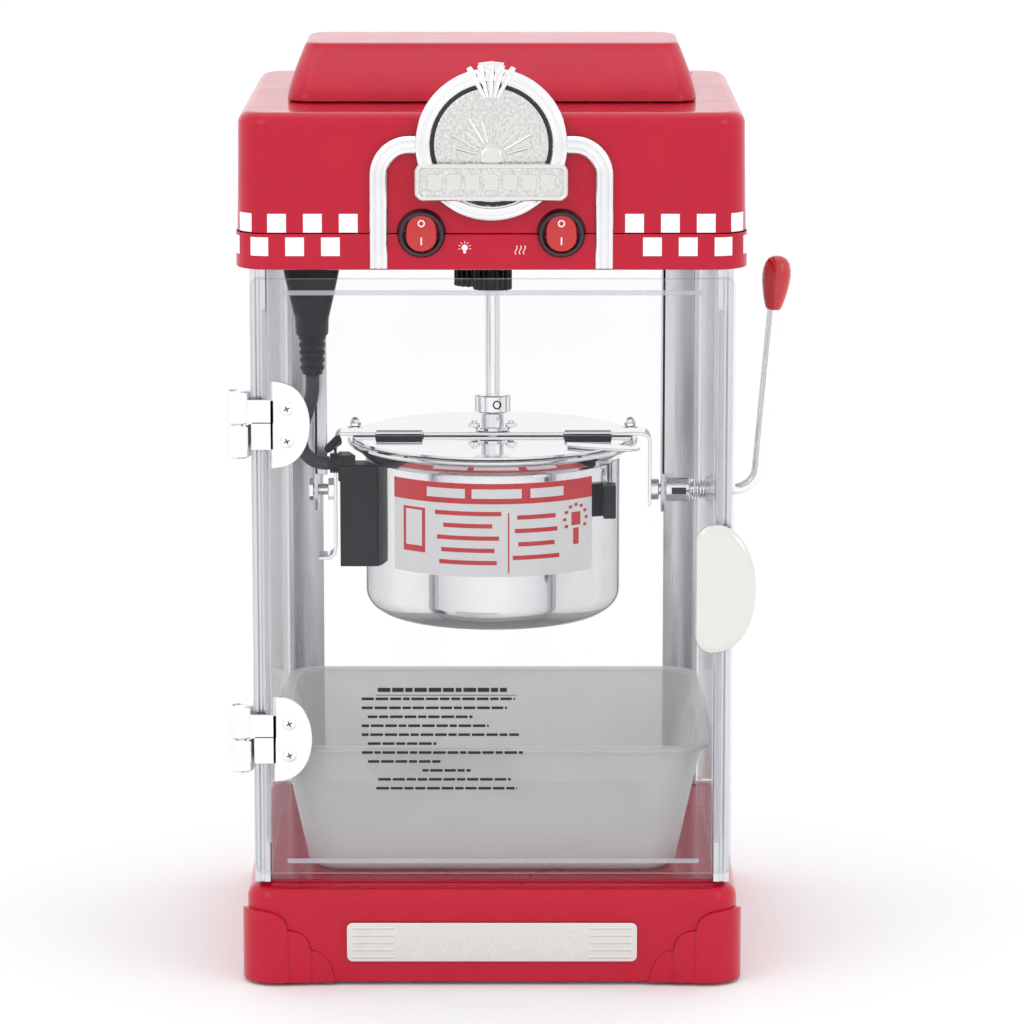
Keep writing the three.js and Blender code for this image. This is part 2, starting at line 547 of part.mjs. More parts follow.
function addStirrer() {
  const stirrer = newGroup(0, PIVOT.y, 0);
  const bore = SHAFT.radius + GAP;
  const collar = rodZ(9.5, 0, 0, 270, 279, 28);
  const shaft = rodZ(SHAFT.radius, 0, 0, SHAFT.bottom, SHAFT.top, 20);
  place('stir_shaft', join(shaft, collar), steel, stirrer);

  const lineOfCentres = Math.atan2(MOTOR_GEAR.y - PIVOT.y, MOTOR_GEAR.x);
  const wheel = gearBody(0, GEAR.bottom, GEAR.top, lineOfCentres);
  const hub = rodZ(6.2, 0, 0, GEAR.top - 1, SHAFT.top, 20);
  const hole = rodZ(bore, 0, 0, GEAR.bottom - 1, SHAFT.top + 1, 20);
  place('stir_gear', cut(join(wheel, hub), hole), brass, stirrer);

  const paddle = join(
    rodZ(8, 0, 0, 191, 199, 20), box(-54, 54, -3, 3, 191, 193.6),
    box(-54, -48, -3, 3, 191, 199), box(48, 54, -3, 3, 191, 199));
  place('stir_paddle', cut(paddle, rodZ(bore, 0, 0, 180, 210, 20)), steel, stirrer);

  const halfPitch = Math.PI / GEAR.teeth;
  const driver = join(
    gearBody(0, GEAR.bottom, GEAR.top, lineOfCentres + Math.PI + halfPitch),
    rodZ(5, 0, 0, GEAR.top - 1, 357, 20),
    rodZ(3, 0, 0, 350, CEILING.top + 0.5, 12));
  place('motor_gear', driver, blackPlastic, object, [MOTOR_GEAR.x, MOTOR_GEAR.y, 0]);

  const floor = CEILING.top + 0.8;
  const gearbox = box(-40, 18, 6, 52, floor, floor + 18);
  const motor = rodZ(21, MOTOR_GEAR.x + 1, MOTOR_GEAR.y, floor + 17, floor + 42, 28);
  place('gearmotor', join(gearbox, motor), steel);
}

// ---------------------------------------------------------------- dump lever
function addLever() {
  const lever = newGroup(0, PIVOT.y, PIVOT.z);
  const lean = THREE.MathUtils.degToRad(LEVER.lean);
  const rise = LEVER.knobTop - 6 - PIVOT.z;
  const bendRadius = 12;
  const points = [new THREE.Vector3(COUPLER.boreEnd + 1, 0, 0), new THREE.Vector3(112, 0, 0)];
  for (let step = 0; step <= 5; step += 1) {
    const angle = (step / 5) * (Math.PI / 2 - lean);
    points.push(new THREE.Vector3(LEVER.bend - bendRadius + bendRadius * Math.sin(angle), 0,
      bendRadius * (1 - Math.cos(angle))));
  }
  const last = points[points.length - 1];
  const leaningX = (z) => last.x + (z - last.z) * Math.tan(lean);
  for (const z of [last.z + 8, (rise + last.z) / 2, rise]) {
    points.push(new THREE.Vector3(leaningX(z), 0, z));
  }
  const rod = tube(new THREE.CatmullRomCurve3(points, false, 'centripetal'), LEVER.rod, 10, 26);
  const coupler = rodX(COUPLER.radius, COUPLER.left, COUPLER.right, 0, 0, 24);
  const bore = rodX(COUPLER.bore, COUPLER.left - 1, COUPLER.boreEnd, 0, 0, 16);
  const slot = box(92, 100.5, -10, -3, -1.8, 1.8);
  place('lever_rod', cut(join(coupler, rod), bore, slot), chrome, lever);

  const height = LEVER.knobTop - LEVER.knobBottom;
  const profile = [[0, 0], [3.8, 0.3], [5, 3], [7.2, 0.52 * height], [7.4, 0.66 * height],
    [6.2, 0.86 * height], [3.4, 0.97 * height], [0, height]];
  const egg = cut(lathe(profile, 20), rodZ(LEVER.rod + 0.35, 0, 0, -2, 23, 12));
  const knobZ = LEVER.knobBottom - PIVOT.z;
  const knob = newGroup(leaningX(knobZ), 0, knobZ, lever);
  knob.rotation.y = lean;
  place('lever_knob', egg, redPlastic, knob);

  // The spring and the ferrule stay with the cabinet when the lever turns.
  const guide = newGroup(0, PIVOT.y, PIVOT.z);
  const coil = [];
  const length = SPRING.right - SPRING.left - 2 * SPRING.wire;
  const steps = SPRING.turns * 8;
  for (let step = 0; step <= steps; step += 1) {
    const angle = (step / steps) * SPRING.turns * Math.PI * 2;
    coil.push(new THREE.Vector3(SPRING.left + SPRING.wire + (step / steps) * length,
      SPRING.radius * Math.sin(angle), SPRING.radius * Math.cos(angle)));
  }
  place('lever_spring', tube(new THREE.CatmullRomCurve3(coil), SPRING.wire, 6, steps), steel, guide);

  const flange = PANEL.outer + GAP;
  const ferrule = join(
    rodX(9, flange, flange + 1.6, 0, 0, 24), rodX(5, flange, flange + 9, 0, 0, 20));
  const bush = rodX(3.5, flange - 1, flange + 10, 0, 0, 16);
  place('lever_ferrule', cut(ferrule, bush), steel, guide);
}

// ---------------------------------------------------------------- lamp, plug and lead
function addElectrics() {
  const bulb = lathe([[0, 347], [5, 348.2], [8, 351], [LAMP.radius, 355], [8.6, 360], [7, 364],
    [7, CEILING.top + 0.6], [0, CEILING.top + 0.6]], 20);
  place('lamp_bulb', bulb, warmGlass, object, [LAMP.x, LAMP.y, 0]);
  const socket = rodZ(LAMP.radius + 2, 0, 0, CEILING.top + 0.9, 390, 24);
  place('lamp_socket', socket, blackPlastic, object, [LAMP.x, LAMP.y, 0]);

  const corners = [
    [-14, COLUMN_TOP], [-14, 347], [-9, 322], [9, 322], [14, 347], [14, COLUMN_TOP]];
  const face = new THREE.Shape(corners.map(([x, z]) => new THREE.Vector2(x, z)));
  const plug = join(upright(face, -9, 9), rodZ(8.4, 0, 0, 313, 323, 20), rodZ(6.4, 0, 0, 293, 314, 16));
  place('heater_plug', plug, blackPlastic, object, [PLUG.x, PLUG.y, 0]);

  const route = [
    [-92, -9, 292.7], [-92, -9, 288.5], [-92.1, -9, 284.5], [-92.7, -9, 280.5], [-93.9, -8.9, 276.5],
    [-95.2, -8.8, 272.5], [-96.5, -8.6, 268.5], [-97.6, -8.4, 264.5], [-98.2, -8.2, 260.8],
    [-98.2, -8, 257.2], [-97.2, -8, 253.6], [-95.2, -8, 250.6], [-92.5, -8, 248.3], [-89.4, -8, 247],
    [-86.4, -8, 246.5], [-83.6, -8, 246.5]];
  const points = route.map((point) => new THREE.Vector3(...point));
  const curve = new THREE.CatmullRomCurve3(points, false, 'centripetal');
  place('heater_cord', tube(curve, CORD_RADIUS, 8, 26), cable);
}

// ---------------------------------------------------------------- popcorn tray
function addTray() {
  const { width, depth, corner, taper, wall, bottom, top } = TRAY;
  const height = top - bottom;
  const [floorWidth, floorDepth] = [width * taper, depth * taper];
  const flip = (body) => body.rotate([180, 0, 0]).translate([0, 0, top]);
  const outer = flip(softBlock(width - 8, depth - 8, 0, height, corner, 7, floorWidth, floorDepth));
  const [innerWidth, innerDepth] = [width - 8 - 2 * wall, depth - 8 - 2 * wall];
  const inner = flip(softBlock(innerWidth, innerDepth, 0, height - wall, corner - wall, 5,
    floorWidth - 2 * wall, floorDepth - 2 * wall));
  const mouth = raise(roundedRect(innerWidth, innerDepth, corner - wall), top - 1, top + 1);
  const rim = raise(roundedRect(width, depth, corner + 3), top - 2.4, top);
  place('tray', cut(join(outer, rim), inner, mouth), frosted, object, [0, TRAY.y, 0]);
}

addBase();
addCabinetWalls();
addCanopy();
addFrontTrim();
addSwitches();
addDoor();
addKettle();
addHangers();
addStirrer();
addLever();
addElectrics();
addTray();

export default object;
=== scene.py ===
import math

import bmesh
import bpy
from mathutils import Matrix, Vector


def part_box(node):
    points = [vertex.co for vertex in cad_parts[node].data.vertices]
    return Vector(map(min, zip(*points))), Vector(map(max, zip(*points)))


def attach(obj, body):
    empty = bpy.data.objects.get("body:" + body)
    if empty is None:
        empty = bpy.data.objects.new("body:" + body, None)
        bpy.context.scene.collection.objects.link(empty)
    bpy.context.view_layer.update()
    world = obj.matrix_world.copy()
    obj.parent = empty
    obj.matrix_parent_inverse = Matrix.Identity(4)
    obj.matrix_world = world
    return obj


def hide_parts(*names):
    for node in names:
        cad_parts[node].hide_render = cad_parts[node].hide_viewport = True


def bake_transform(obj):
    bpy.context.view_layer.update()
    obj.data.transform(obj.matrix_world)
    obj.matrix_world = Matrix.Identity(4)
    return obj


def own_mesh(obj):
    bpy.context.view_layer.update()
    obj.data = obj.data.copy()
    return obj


# A retro tabletop popcorn maker. Shapes are drawn in millimetres in the CAD frame
# (X right, Y back, Z up) and scaled to metres when each piece is finished.
MM = 0.001
CREASE = 0.6            # radians between faces from which an edge stays crisp
PIVOT_Z = 229           # height of the pins that the kettle turns on
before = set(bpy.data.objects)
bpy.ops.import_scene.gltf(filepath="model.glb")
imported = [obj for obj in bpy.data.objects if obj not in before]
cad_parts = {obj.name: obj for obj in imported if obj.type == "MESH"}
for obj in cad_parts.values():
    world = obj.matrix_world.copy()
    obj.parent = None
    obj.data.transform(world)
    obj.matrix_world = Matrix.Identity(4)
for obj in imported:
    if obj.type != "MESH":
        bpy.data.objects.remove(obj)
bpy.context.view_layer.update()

FRONT = Matrix.Rotation(math.pi / 2, 4, "X")            # drawn x, y, z -> X, Z, -Y
SIDE = Matrix(((0, 0, 1, 0), (1, 0, 0, 0), (0, 1, 0, 0), (0, 0, 0, 1)))  # -> Y, Z, X


def span(node):
    """Lowest and highest corner of a CAD node, in millimetres."""
    low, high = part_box(node)
    return low / MM, high / MM


def at(x, y, z):
    return Matrix.Translation((x, y, z))


# ------------------------------------------------------------------ mesh helpers
def loft(bm, rings, place=None, start=True, end=True):
    """Joins rings of equally many points, and caps the ends."""
    loops = [[bm.verts.new(point) for point in ring] for ring in rings]
    for low, high in zip(loops, loops[1:]):
        for i, vert in enumerate(low):
            j = (i + 1) % len(low)
            bm.faces.new((vert, low[j], high[j], high[i]))
    if start:
        bm.faces.new(loops[0][::-1])
    if end:
        bm.faces.new(loops[-1])
    if place is not None:
        verts = [vert for loop in loops for vert in loop]
        bmesh.ops.transform(bm, matrix=place, verts=verts)


def rounded(width, depth, radius, z=0.0, x=0.0, y=0.0, steps=8):
    """Points round a rectangle with rounded corners, counter-clockwise."""
    points = []
    for sx, sy, start in ((1, -1, -90), (1, 1, 0), (-1, 1, 90), (-1, -1, 180)):
        cx, cy = x + sx * (width / 2 - radius), y + sy * (depth / 2 - radius)
        for i in range(steps + 1):
            angle = math.radians(start + 90 * i / steps)
            points.append((cx + radius * math.cos(angle), cy + radius * math.sin(angle), z))
    return points


def inset_rings(width, depth, corner, levels, x=0.0, y=0.0, steps=8):
    """Rounded rectangles, one for each (inset, z) level."""
    return [rounded(width - 2 * inset, depth - 2 * inset, max(corner - inset, 0.1), z, x, y, steps)
            for inset, z in levels]


def round_low(edge, z, steps=4):
    """Levels of a rounded lower edge, from its flat face outwards."""
    turns = [math.pi / 2 * k / steps for k in range(steps + 1)]
    return [(edge * (1 - math.sin(a)), z + edge * (1 - math.cos(a))) for a in turns]


def round_high(edge, z, steps=4):
    """Levels of a rounded upper edge, from the wall inwards."""
    turns = [math.pi / 2 * k / steps for k in range(steps + 1)]
    return [(edge * (1 - math.cos(a)), z - edge * (1 - math.sin(a))) for a in turns]


def slab(bm, width, depth, corner, z0, z1, edge=0.4, x=0.0, y=0.0, place=None, steps=6):
    """A plate with rounded corners and rounded edges."""
    levels = round_low(edge, z0, 3) + round_high(edge, z1, 3)
    loft(bm, inset_rings(width, depth, corner, levels, x, y, steps), place)


def block(bm, x0, x1, y0, y1, z0, z1, edge=0.4, corner=0.6):
    """A box with rounded edges between two corners."""
    slab(bm, x1 - x0, y1 - y0, corner, z0, z1, edge, (x0 + x1) / 2, (y0 + y1) / 2, steps=3)


def circle(radius, z, segments, turn=0.0):
    step = math.tau / segments
    return [(radius * math.cos(turn + k * step), radius * math.sin(turn + k * step), z)
            for k in range(segments)]


def lathe(bm, profile, place=None, segments=64):
    """A solid of revolution about Z from (radius, height) pairs."""
    loft(bm, [circle(max(radius, 0.02), z, segments) for radius, z in profile], place)


def pipe(bm, profile, place=None, segments=64):
    """A hollow solid of revolution: the (radius, height) pairs close on themselves."""
    rings = [circle(radius, z, segments) for radius, z in [*profile, profile[0]]]
    loft(bm, rings, place, start=False, end=False)


def tube(bm, points, radius, sides=12, place=None):
    """A round bar along points. radius is a number or one number for each point."""
    points = [Vector(point) for point in points]
    radii = radius if isinstance(radius, list) else [radius] * len(points)
    rings, normal = [], None
    for i, point in enumerate(points):
        tangent = (points[min(i + 1, len(points) - 1)] - points[max(i - 1, 0)]).normalized()
        normal = tangent.orthogonal() if normal is None else normal
        normal = (normal - tangent * normal.dot(tangent)).normalized()
        across = tangent.cross(normal)
        rings.append([point + (normal * math.cos(a) + across * math.sin(a)) * radii[i]
                      for a in (math.tau * k / sides for k in range(sides))])
    loft(bm, rings, place)


def capsule(bm, start, end, radius, sides=12, place=None):
    """A bar with round ends."""
    start, end = Vector(start), Vector(end)
    along = (end - start).normalized()
    turns = [math.pi / 2 * k / 4 for k in range(5)]
    tail = [(start - along * radius * math.cos(a), radius * math.sin(a)) for a in turns]
    head = [(end + along * radius * math.sin(a), radius * math.cos(a)) for a in turns]
    points = [point for point, _ in tail + head]
    tube(bm, points, [max(r, 0.02) for _, r in tail + head], sides, place)


def plate(bm, outline, z0, z1, place=None):
    """A flat plate of any outline, given as x, y pairs."""
    loft(bm, [[(x, y, z0) for x, y in outline], [(x, y, z1) for x, y in outline]], place)


def sweep(bm, path, section):
    """A section of (across, out) pairs carried along a path of x, z pairs; out is -Y."""
    rings = []
    for i, (x, z) in enumerate(path):
        (xa, za), (xb, zb) = path[max(i - 1, 0)], path[min(i + 1, len(path) - 1)]
        length = math.hypot(xb - xa, zb - za)
        nx, nz = (zb - za) / length, -(xb - xa) / length
        rings.append([(x + nx * across, -out, z + nz * across) for across, out in section])
    loft(bm, rings)


def smooth_line(points, steps):
    """A Catmull-Rom curve through points, with steps pieces between neighbours."""
    points = [Vector(point) for point in points]
    ends = [2 * points[0] - points[1], *points, 2 * points[-1] - points[-2]]
    line = []
    for a, b, c, d in zip(ends, ends[1:], ends[2:], ends[3:]):
        for k in range(steps):
            t = k / steps
            line.append(0.5 * (2 * b + (c - a) * t + (2 * a - 5 * b + 4 * c - d) * t * t
                               + (3 * b - a - 3 * c + d) * t ** 3))
    return [*line, points[-1]]


def hexagon(bm, radius, z0, z1, place=None):
    """A hexagonal nut body with chamfered ends."""
    profile = [(radius - 0.5, z0), (radius, z0 + 0.3), (radius, z1 - 0.3), (radius - 0.5, z1)]
    loft(bm, [circle(r, z, 6) for r, z in profile], place)


def link_object(name, data):
    """Puts an object that shows data into the scene."""
    obj = bpy.data.objects.new(name, data)
    bpy.context.scene.collection.objects.link(obj)
    return obj


def to_metres(bm):
    """Scales a shape drawn in millimetres, and shades it smooth."""
    bmesh.ops.scale(bm, vec=(MM, MM, MM), verts=bm.verts)
    for face in bm.faces:
        face.smooth = True


def mesh_object(name, bm, material):
    mesh = bpy.data.meshes.new(name)
    bm.to_mesh(mesh)
    bm.free()
    mesh.materials.append(material)
    return link_object(name, mesh)


def piece(name, bm, body, material, replaces=(), bevel=0.0):
    """Makes the object: smooth shading with crisp creases, on its CAD body."""
    bmesh.ops.recalc_face_normals(bm, faces=bm.faces)
    to_metres(bm)
    if not bevel:
        for edge in bm.edges:
            edge.smooth = len(edge.link_faces) != 2 or edge.calc_face_angle(0) < CREASE
    obj = mesh_object(name, bm, material)
    finish_edges(obj, bevel)
    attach(obj, body)
    if replaces:
        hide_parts(*replaces)
    return obj


def finish_edges(obj, bevel):
    """Rounds edges by bevel millimetres, if any, and evens out the shading."""
    if bevel:
        rounding = obj.modifiers.new("rounding", "BEVEL")
        rounding.width = bevel * MM
        rounding.segments = 2
        rounding.limit_method = "ANGLE"
        rounding.angle_limit = math.radians(35)
    shading = obj.modifiers.new("shading", "WEIGHTED_NORMAL")
    shading.keep_sharp = True


def dress(node, material, bevel=0.4):
    """Keeps a CAD node's own shape, with rounded edges and a finish."""
    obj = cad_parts[node]
    weld = obj.modifiers.new("weld", "WELD")
    weld.merge_threshold = 0.00001
    obj.data.materials.clear()
    obj.data.materials.append(material)
    finish_edges(obj, bevel)
    return obj


# ------------------------------------------------------------------ materials
def add_noise(tree, grain, scale, detail):
    """Noise in the object's own space, drawn out along grain."""
    coords = tree.nodes.new("ShaderNodeTexCoord")
    mapping = tree.nodes.new("ShaderNodeMapping")
    mapping.inputs["Scale"].default_value = grain
    tree.links.new(coords.outputs["Object"], mapping.inputs["Vector"])
    noise = tree.nodes.new("ShaderNodeTexNoise")
    noise.inputs["Scale"].default_value = scale
    noise.inputs["Detail"].default_value = detail
    tree.links.new(mapping.outputs["Vector"], noise.inputs["Vector"])
    return noise.outputs["Fac"]


def add_range(tree, value, source, target):
    """Carries value from the source range to the target range."""
    spread = tree.nodes.new("ShaderNodeMapRange")
    for socket, number in zip(("From Min", "From Max", "To Min", "To Max"), (*source, *target)):
        spread.inputs[socket].default_value = number
    tree.links.new(value, spread.inputs["Value"])
    return spread.outputs["Result"]


def finish(name, color, roughness, metallic=0.0, tone=0.05, tone_scale=40.0, grain=(1, 1, 1),
           rough_range=0.04, bump=0.0, bump_scale=900.0, sockets=()):
    """A procedural finish: noise varies colour and roughness, and a second one the relief."""
    material = bpy.data.materials.new(name)
    material.use_nodes = True
    tree = material.node_tree
    shader = tree.nodes["Principled BSDF"]
    shader.inputs["Metallic"].default_value = metallic
    for socket, value in sockets:
        shader.inputs[socket].default_value = value

    noise = add_noise(tree, grain, tone_scale, 4.0)
    shades = tree.nodes.new("ShaderNodeValToRGB")
    low, high = shades.color_ramp.elements
    low.position, high.position = 0.3, 0.7
    low.color = (*[max(channel * (1 - tone), 0.0) for channel in color], 1)
    high.color = (*[min(channel * (1 + tone), 1.0) for channel in color], 1)
    tree.links.new(noise, shades.inputs["Fac"])
    tree.links.new(shades.outputs["Color"], shader.inputs["Base Color"])
    polish = add_range(tree, noise, (0.3, 0.7),
                       (max(roughness - rough_range, 0.02), roughness + rough_range))
    tree.links.new(polish, shader.inputs["Roughness"])

    if bump:
        height = tree.nodes.new("ShaderNodeBump")
        height.inputs["Strength"].default_value = bump
        height.inputs["Distance"].default_value = 0.0004
        tree.links.new(add_noise(tree, grain, bump_scale, 2.0), height.inputs["Height"])
        tree.links.new(height.outputs["Normal"], shader.inputs["Normal"])
    return material


def see_through(material, face_on, edge_on, streaks=0.0, grain=(1, 1, 1)):
    """Clear plastic: nearly open face on, whiter at a glancing angle and in its streaks."""
    tree = material.node_tree
    facing = tree.nodes.new("ShaderNodeLayerWeight")
    facing.inputs["Blend"].default_value = 0.35
    result = add_range(tree, facing.outputs["Facing"], (0, 1), (face_on, edge_on))
    if streaks:
        cloudy = add_range(tree, add_noise(tree, grain, 12.0, 5.0), (0.35, 0.7), (0, streaks))
        total = tree.nodes.new("ShaderNodeMath")
        total.use_clamp = True
        tree.links.new(result, total.inputs[0])
        tree.links.new(cloudy, total.inputs[1])
        result = total.outputs["Value"]
    tree.links.new(result, tree.nodes["Principled BSDF"].inputs["Alpha"])


GLOSS = (("Coat Weight", 0.6), ("Coat Roughness", 0.06))
MATT = (("Specular IOR Level", 0.25),)
NO_SHINE = (("Specular IOR Level", 0.0),)
ALONG_X, ALONG_Z = (0.04, 1, 1), (1, 1, 0.04)

red_gloss = finish("red_gloss", (0.49, 0.0006, 0.024), 0.3, tone=0.04, bump=0.02, bump_scale=260,
                   sockets=(("Coat Weight", 0.6), ("Coat Roughness", 0.07),
                            ("Specular IOR Level", 0.08)))
chrome = finish("chrome", (0.90, 0.90, 0.91), 0.09, 1, tone=0.02, bump=0.02, bump_scale=300)
cast_chrome = finish("cast_chrome", (0.88, 0.88, 0.89), 0.14, 1, tone=0.03, bump=0.1)
pebbled = finish("pebbled_chrome", (0.68, 0.67, 0.65), 0.2, 0.9, tone=0.2, tone_scale=700,
                 bump=1.0, bump_scale=1100)
# painted shade: a near-black finish put in grooves and slots, standing in for the shadow that falls in
# them
painted_shade_dark = finish("painted_shade_dark", (0.03, 0.03, 0.045), 0.35, 0.4, bump=0.1)
plated = finish("nickel_plate", (0.76, 0.75, 0.72), 0.2, 0.95, tone=0.012, tone_scale=200,
                rough_range=0.012, bump=0.02, bump_scale=900)
polished = finish("polished_steel", (0.82, 0.82, 0.83), 0.06, 1, tone=0.03, grain=ALONG_X,
                  tone_scale=90, rough_range=0.02, bump=0.04, bump_scale=500)
satin = finish("satin_steel", (0.78, 0.78, 0.79), 0.28, 1, tone=0.03, grain=ALONG_X,
               tone_scale=160, bump=0.12, bump_scale=1500)
brushed = finish("aluminium_post", (0.72, 0.73, 0.75), 0.3, 1, tone=0.08, grain=ALONG_Z,
                 tone_scale=220, bump=0.12, bump_scale=1500)
black = finish("black_plastic", (0.008, 0.008, 0.010), 0.34, tone=0.3, bump=0.2, sockets=MATT)
bezel_black = finish("bezel_black", (0.008, 0.010, 0.018), 0.22, tone=0.2, bump=0.06,
                     sockets=(("Coat Weight", 0.3),))
red_knob = finish("red_knob", (0.52, 0.003, 0.010), 0.16, tone=0.05, bump=0.03, sockets=GLOSS)
rocker_red = finish("rocker_red", (0.52, 0.004, 0.004), 0.2, tone=0.06, bump=0.04,
                    sockets=GLOSS)
white_print = finish("white_print", (0.90, 0.89, 0.92), 0.4, tone=0.02, bump=0.06)
dark_print = finish("dark_print", (0.02, 0.02, 0.025), 0.5, tone=0.2, bump=0.06, sockets=MATT)
label_paper = finish("label_paper", (0.80, 0.80, 0.80), 0.34, tone=0.03, bump=0.05)
label_red = finish("label_red", (0.62, 0.02, 0.03), 0.34, tone=0.05, bump=0.05)
brass = finish("gear_brass", (0.72, 0.44, 0.20), 0.24, 1, tone=0.12, tone_scale=120, bump=0.08)
rubber = finish("foot_rubber", (0.02, 0.02, 0.022), 0.8, tone=0.3, bump=0.5)
sleeve = finish("lead_sleeve", (0.035, 0.035, 0.04), 0.5, tone=0.3, grain=ALONG_Z, bump=0.5)
bulb_glass = finish("lamp_glass", (0.95, 0.88, 0.72), 0.08, tone=0.03,
                    sockets=(("Coat Weight", 0.5),))
see_through(bulb_glass, 0.35, 0.95)
clear_door = finish("clear_door", (0.50, 0.52, 0.56), 0.05, tone=0.03, bump=0.02, bump_scale=60)
see_through(clear_door, 0.02, 0.8)
clear_bead = finish("clear_bead", (0.60, 0.60, 0.66), 0.12, tone=0.03, bump=0.02)
see_through(clear_bead, 0.4, 0.9)
clear_side = finish("clear_sheet", (0.42, 0.43, 0.45), 0.08, tone=0.5, tone_scale=30,
                    grain=(1, 1, 0.08), bump=0.03, bump_scale=60)
see_through(clear_side, 0.03, 0.62, streaks=0.10, grain=(1, 1, 0.12))
clear_back = finish("clear_back", (0.86, 0.87, 0.88), 0.06, tone=0.04, bump=0.02, bump_scale=60)
see_through(clear_back, 0.015, 0.7, streaks=0.03, grain=(1, 1, 0.12))
tray_plastic = finish("tray_plastic", (0.76, 0.765, 0.77), 0.2, tone=0.03, bump=0.04, sockets=MATT)
see_through(tray_plastic, 0.52, 0.95)


# ------------------------------------------------------------------ camera, floor, light
def aim_at(obj, place, target):
    obj.location = place
    aim = Vector(target) - Vector(place)
    obj.rotation_euler = aim.to_track_quat("-Z", "Y").to_euler()


def set_camera():
    """Straight on, a little above, through a long lens, as in the photograph."""
    distance, height, target_z, side = 2.3, 0.6697, 0.2412, 0.0100
    front_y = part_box("door_panel")[0].y - 0.0035
    data = bpy.data.cameras.new("camera")
    data.lens = 167.6
    camera = link_object("camera", data)
    aim_at(camera, (side, front_y - distance, height), (side, front_y, target_z))
    bpy.context.scene.camera = camera


def area_light(name, place, size, power):
    """A soft rectangular light that faces the middle of the object."""
    data = bpy.data.lights.new(name, "AREA")
    data.shape = "RECTANGLE"
    data.size, data.size_y = size
    data.energy = power
    aim_at(link_object(name, data), place, (0, 0, 0.2))


def set_world():
    """Even white light from all round."""
    world = bpy.data.worlds.new("studio")
    world.use_nodes = True
    background = world.node_tree.nodes["Background"]
    background.inputs["Color"].default_value = (0.99, 0.99, 1.0, 1)
    background.inputs["Strength"].default_value = 1.1
    bpy.context.scene.world = world


def set_stage():
    """A plain pale floor under the object, an even world and three soft lights."""
    floor_mesh = bpy.data.meshes.new("floor")
    half, drop = 30.0, -0.0003
    floor_mesh.from_pydata([(-half, -half, drop), (half, -half, drop), (half, half, drop),
                            (-half, half, drop)], [], [(0, 1, 2, 3)])
    floor_mesh.materials.append(finish("floor", (0.93, 0.93, 0.93), 0.9, tone=0.01, tone_scale=2,
                                       sockets=NO_SHINE))
    link_object("floor", floor_mesh)

    set_world()
    area_light("key", (-1.5, -1.9, 1.7), (1.2, 1.6), 6)
    area_light("fill", (1.7, -1.6, 1.4), (0.9, 1.6), 4)
    area_light("top", (0, 0.1, 2.2), (1.6, 1.6), 3)
    bpy.context.scene.view_settings.view_transform = "Standard"


set_camera()
set_stage()


# ------------------------------------------------------------------ the heater lead
def add_heater_lead():
    """The limp lead from the cabinet's plug to the kettle, on the route of part.mjs."""
    route = [
        (-92, -9, 292.7), (-92, -9, 288.5), (-92.1, -9, 284.5), (-92.7, -9, 280.5),
        (-93.9, -8.9, 276.5), (-95.2, -8.8, 272.5), (-96.5, -8.6, 268.5), (-97.6, -8.4, 264.5),
        (-98.2, -8.2, 260.8), (-98.2, -8, 257.2), (-97.2, -8, 253.6), (-95.2, -8, 250.6),
        (-92.5, -8, 248.3), (-89.4, -8, 247), (-86.4, -8, 246.5), (-83.6, -8, 246.5)]
    radius = 3.5
    line = smooth_line(route, 3)
    bm = bmesh.new()
    tube(bm, line, radius, sides=16)
    to_metres(bm)
    lead = mesh_object("heater_lead", bm, sleeve)
    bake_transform(lead)
    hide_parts("heater_cord")


add_heater_lead()


# ------------------------------------------------------------------ base
def add_base():
    low, high = span("base_shell")
    width, depth, corner, edge = high.x - low.x, high.y - low.y, 14, 7.5
    shoulder, deck = high.z - 1.4, high.z
    recess = [(3, low.z + 3.1), (3, low.z + 0.4), (2.6, low.z)]
    wall = [(1, low.z), (0.3, low.z + 0.3), (0, low.z + 1)]
    step = [(9.6, shoulder), (10.2, shoulder + 0.2), (10.6, deck - 0.35), (11.3, deck)]
    bm = bmesh.new()
    loft(bm, inset_rings(width, depth, corner, recess + wall + round_high(edge, shoulder, 8) + step,
                         steps=10))
    piece("base_body", bm, "cabinet", red_gloss, ["base_shell"])


def pad_columns(reach_from, reach_to, corner, half_x, half_y):
    """Plan points round one corner, as (x, y, normal x, normal y, reach), from (1, -1)."""
    arc_steps, straight_steps = 9, 8
    columns = []
    if reach_from < corner:
        for k in range(arc_steps):
            angle = math.radians(45 * (1 - k / arc_steps))
            across, out = math.cos(angle), math.sin(angle)
            columns.append((half_x - corner + corner * across, -(half_y - corner) - corner * out,
                            across, -out, corner * (1 - out)))
    straight = max(reach_from, corner)
    for k in range(straight_steps + 1):
        reach = straight + (reach_to - straight) * k / straight_steps
        columns.append((half_x, reach - half_y, 1, 0, reach))
    return columns


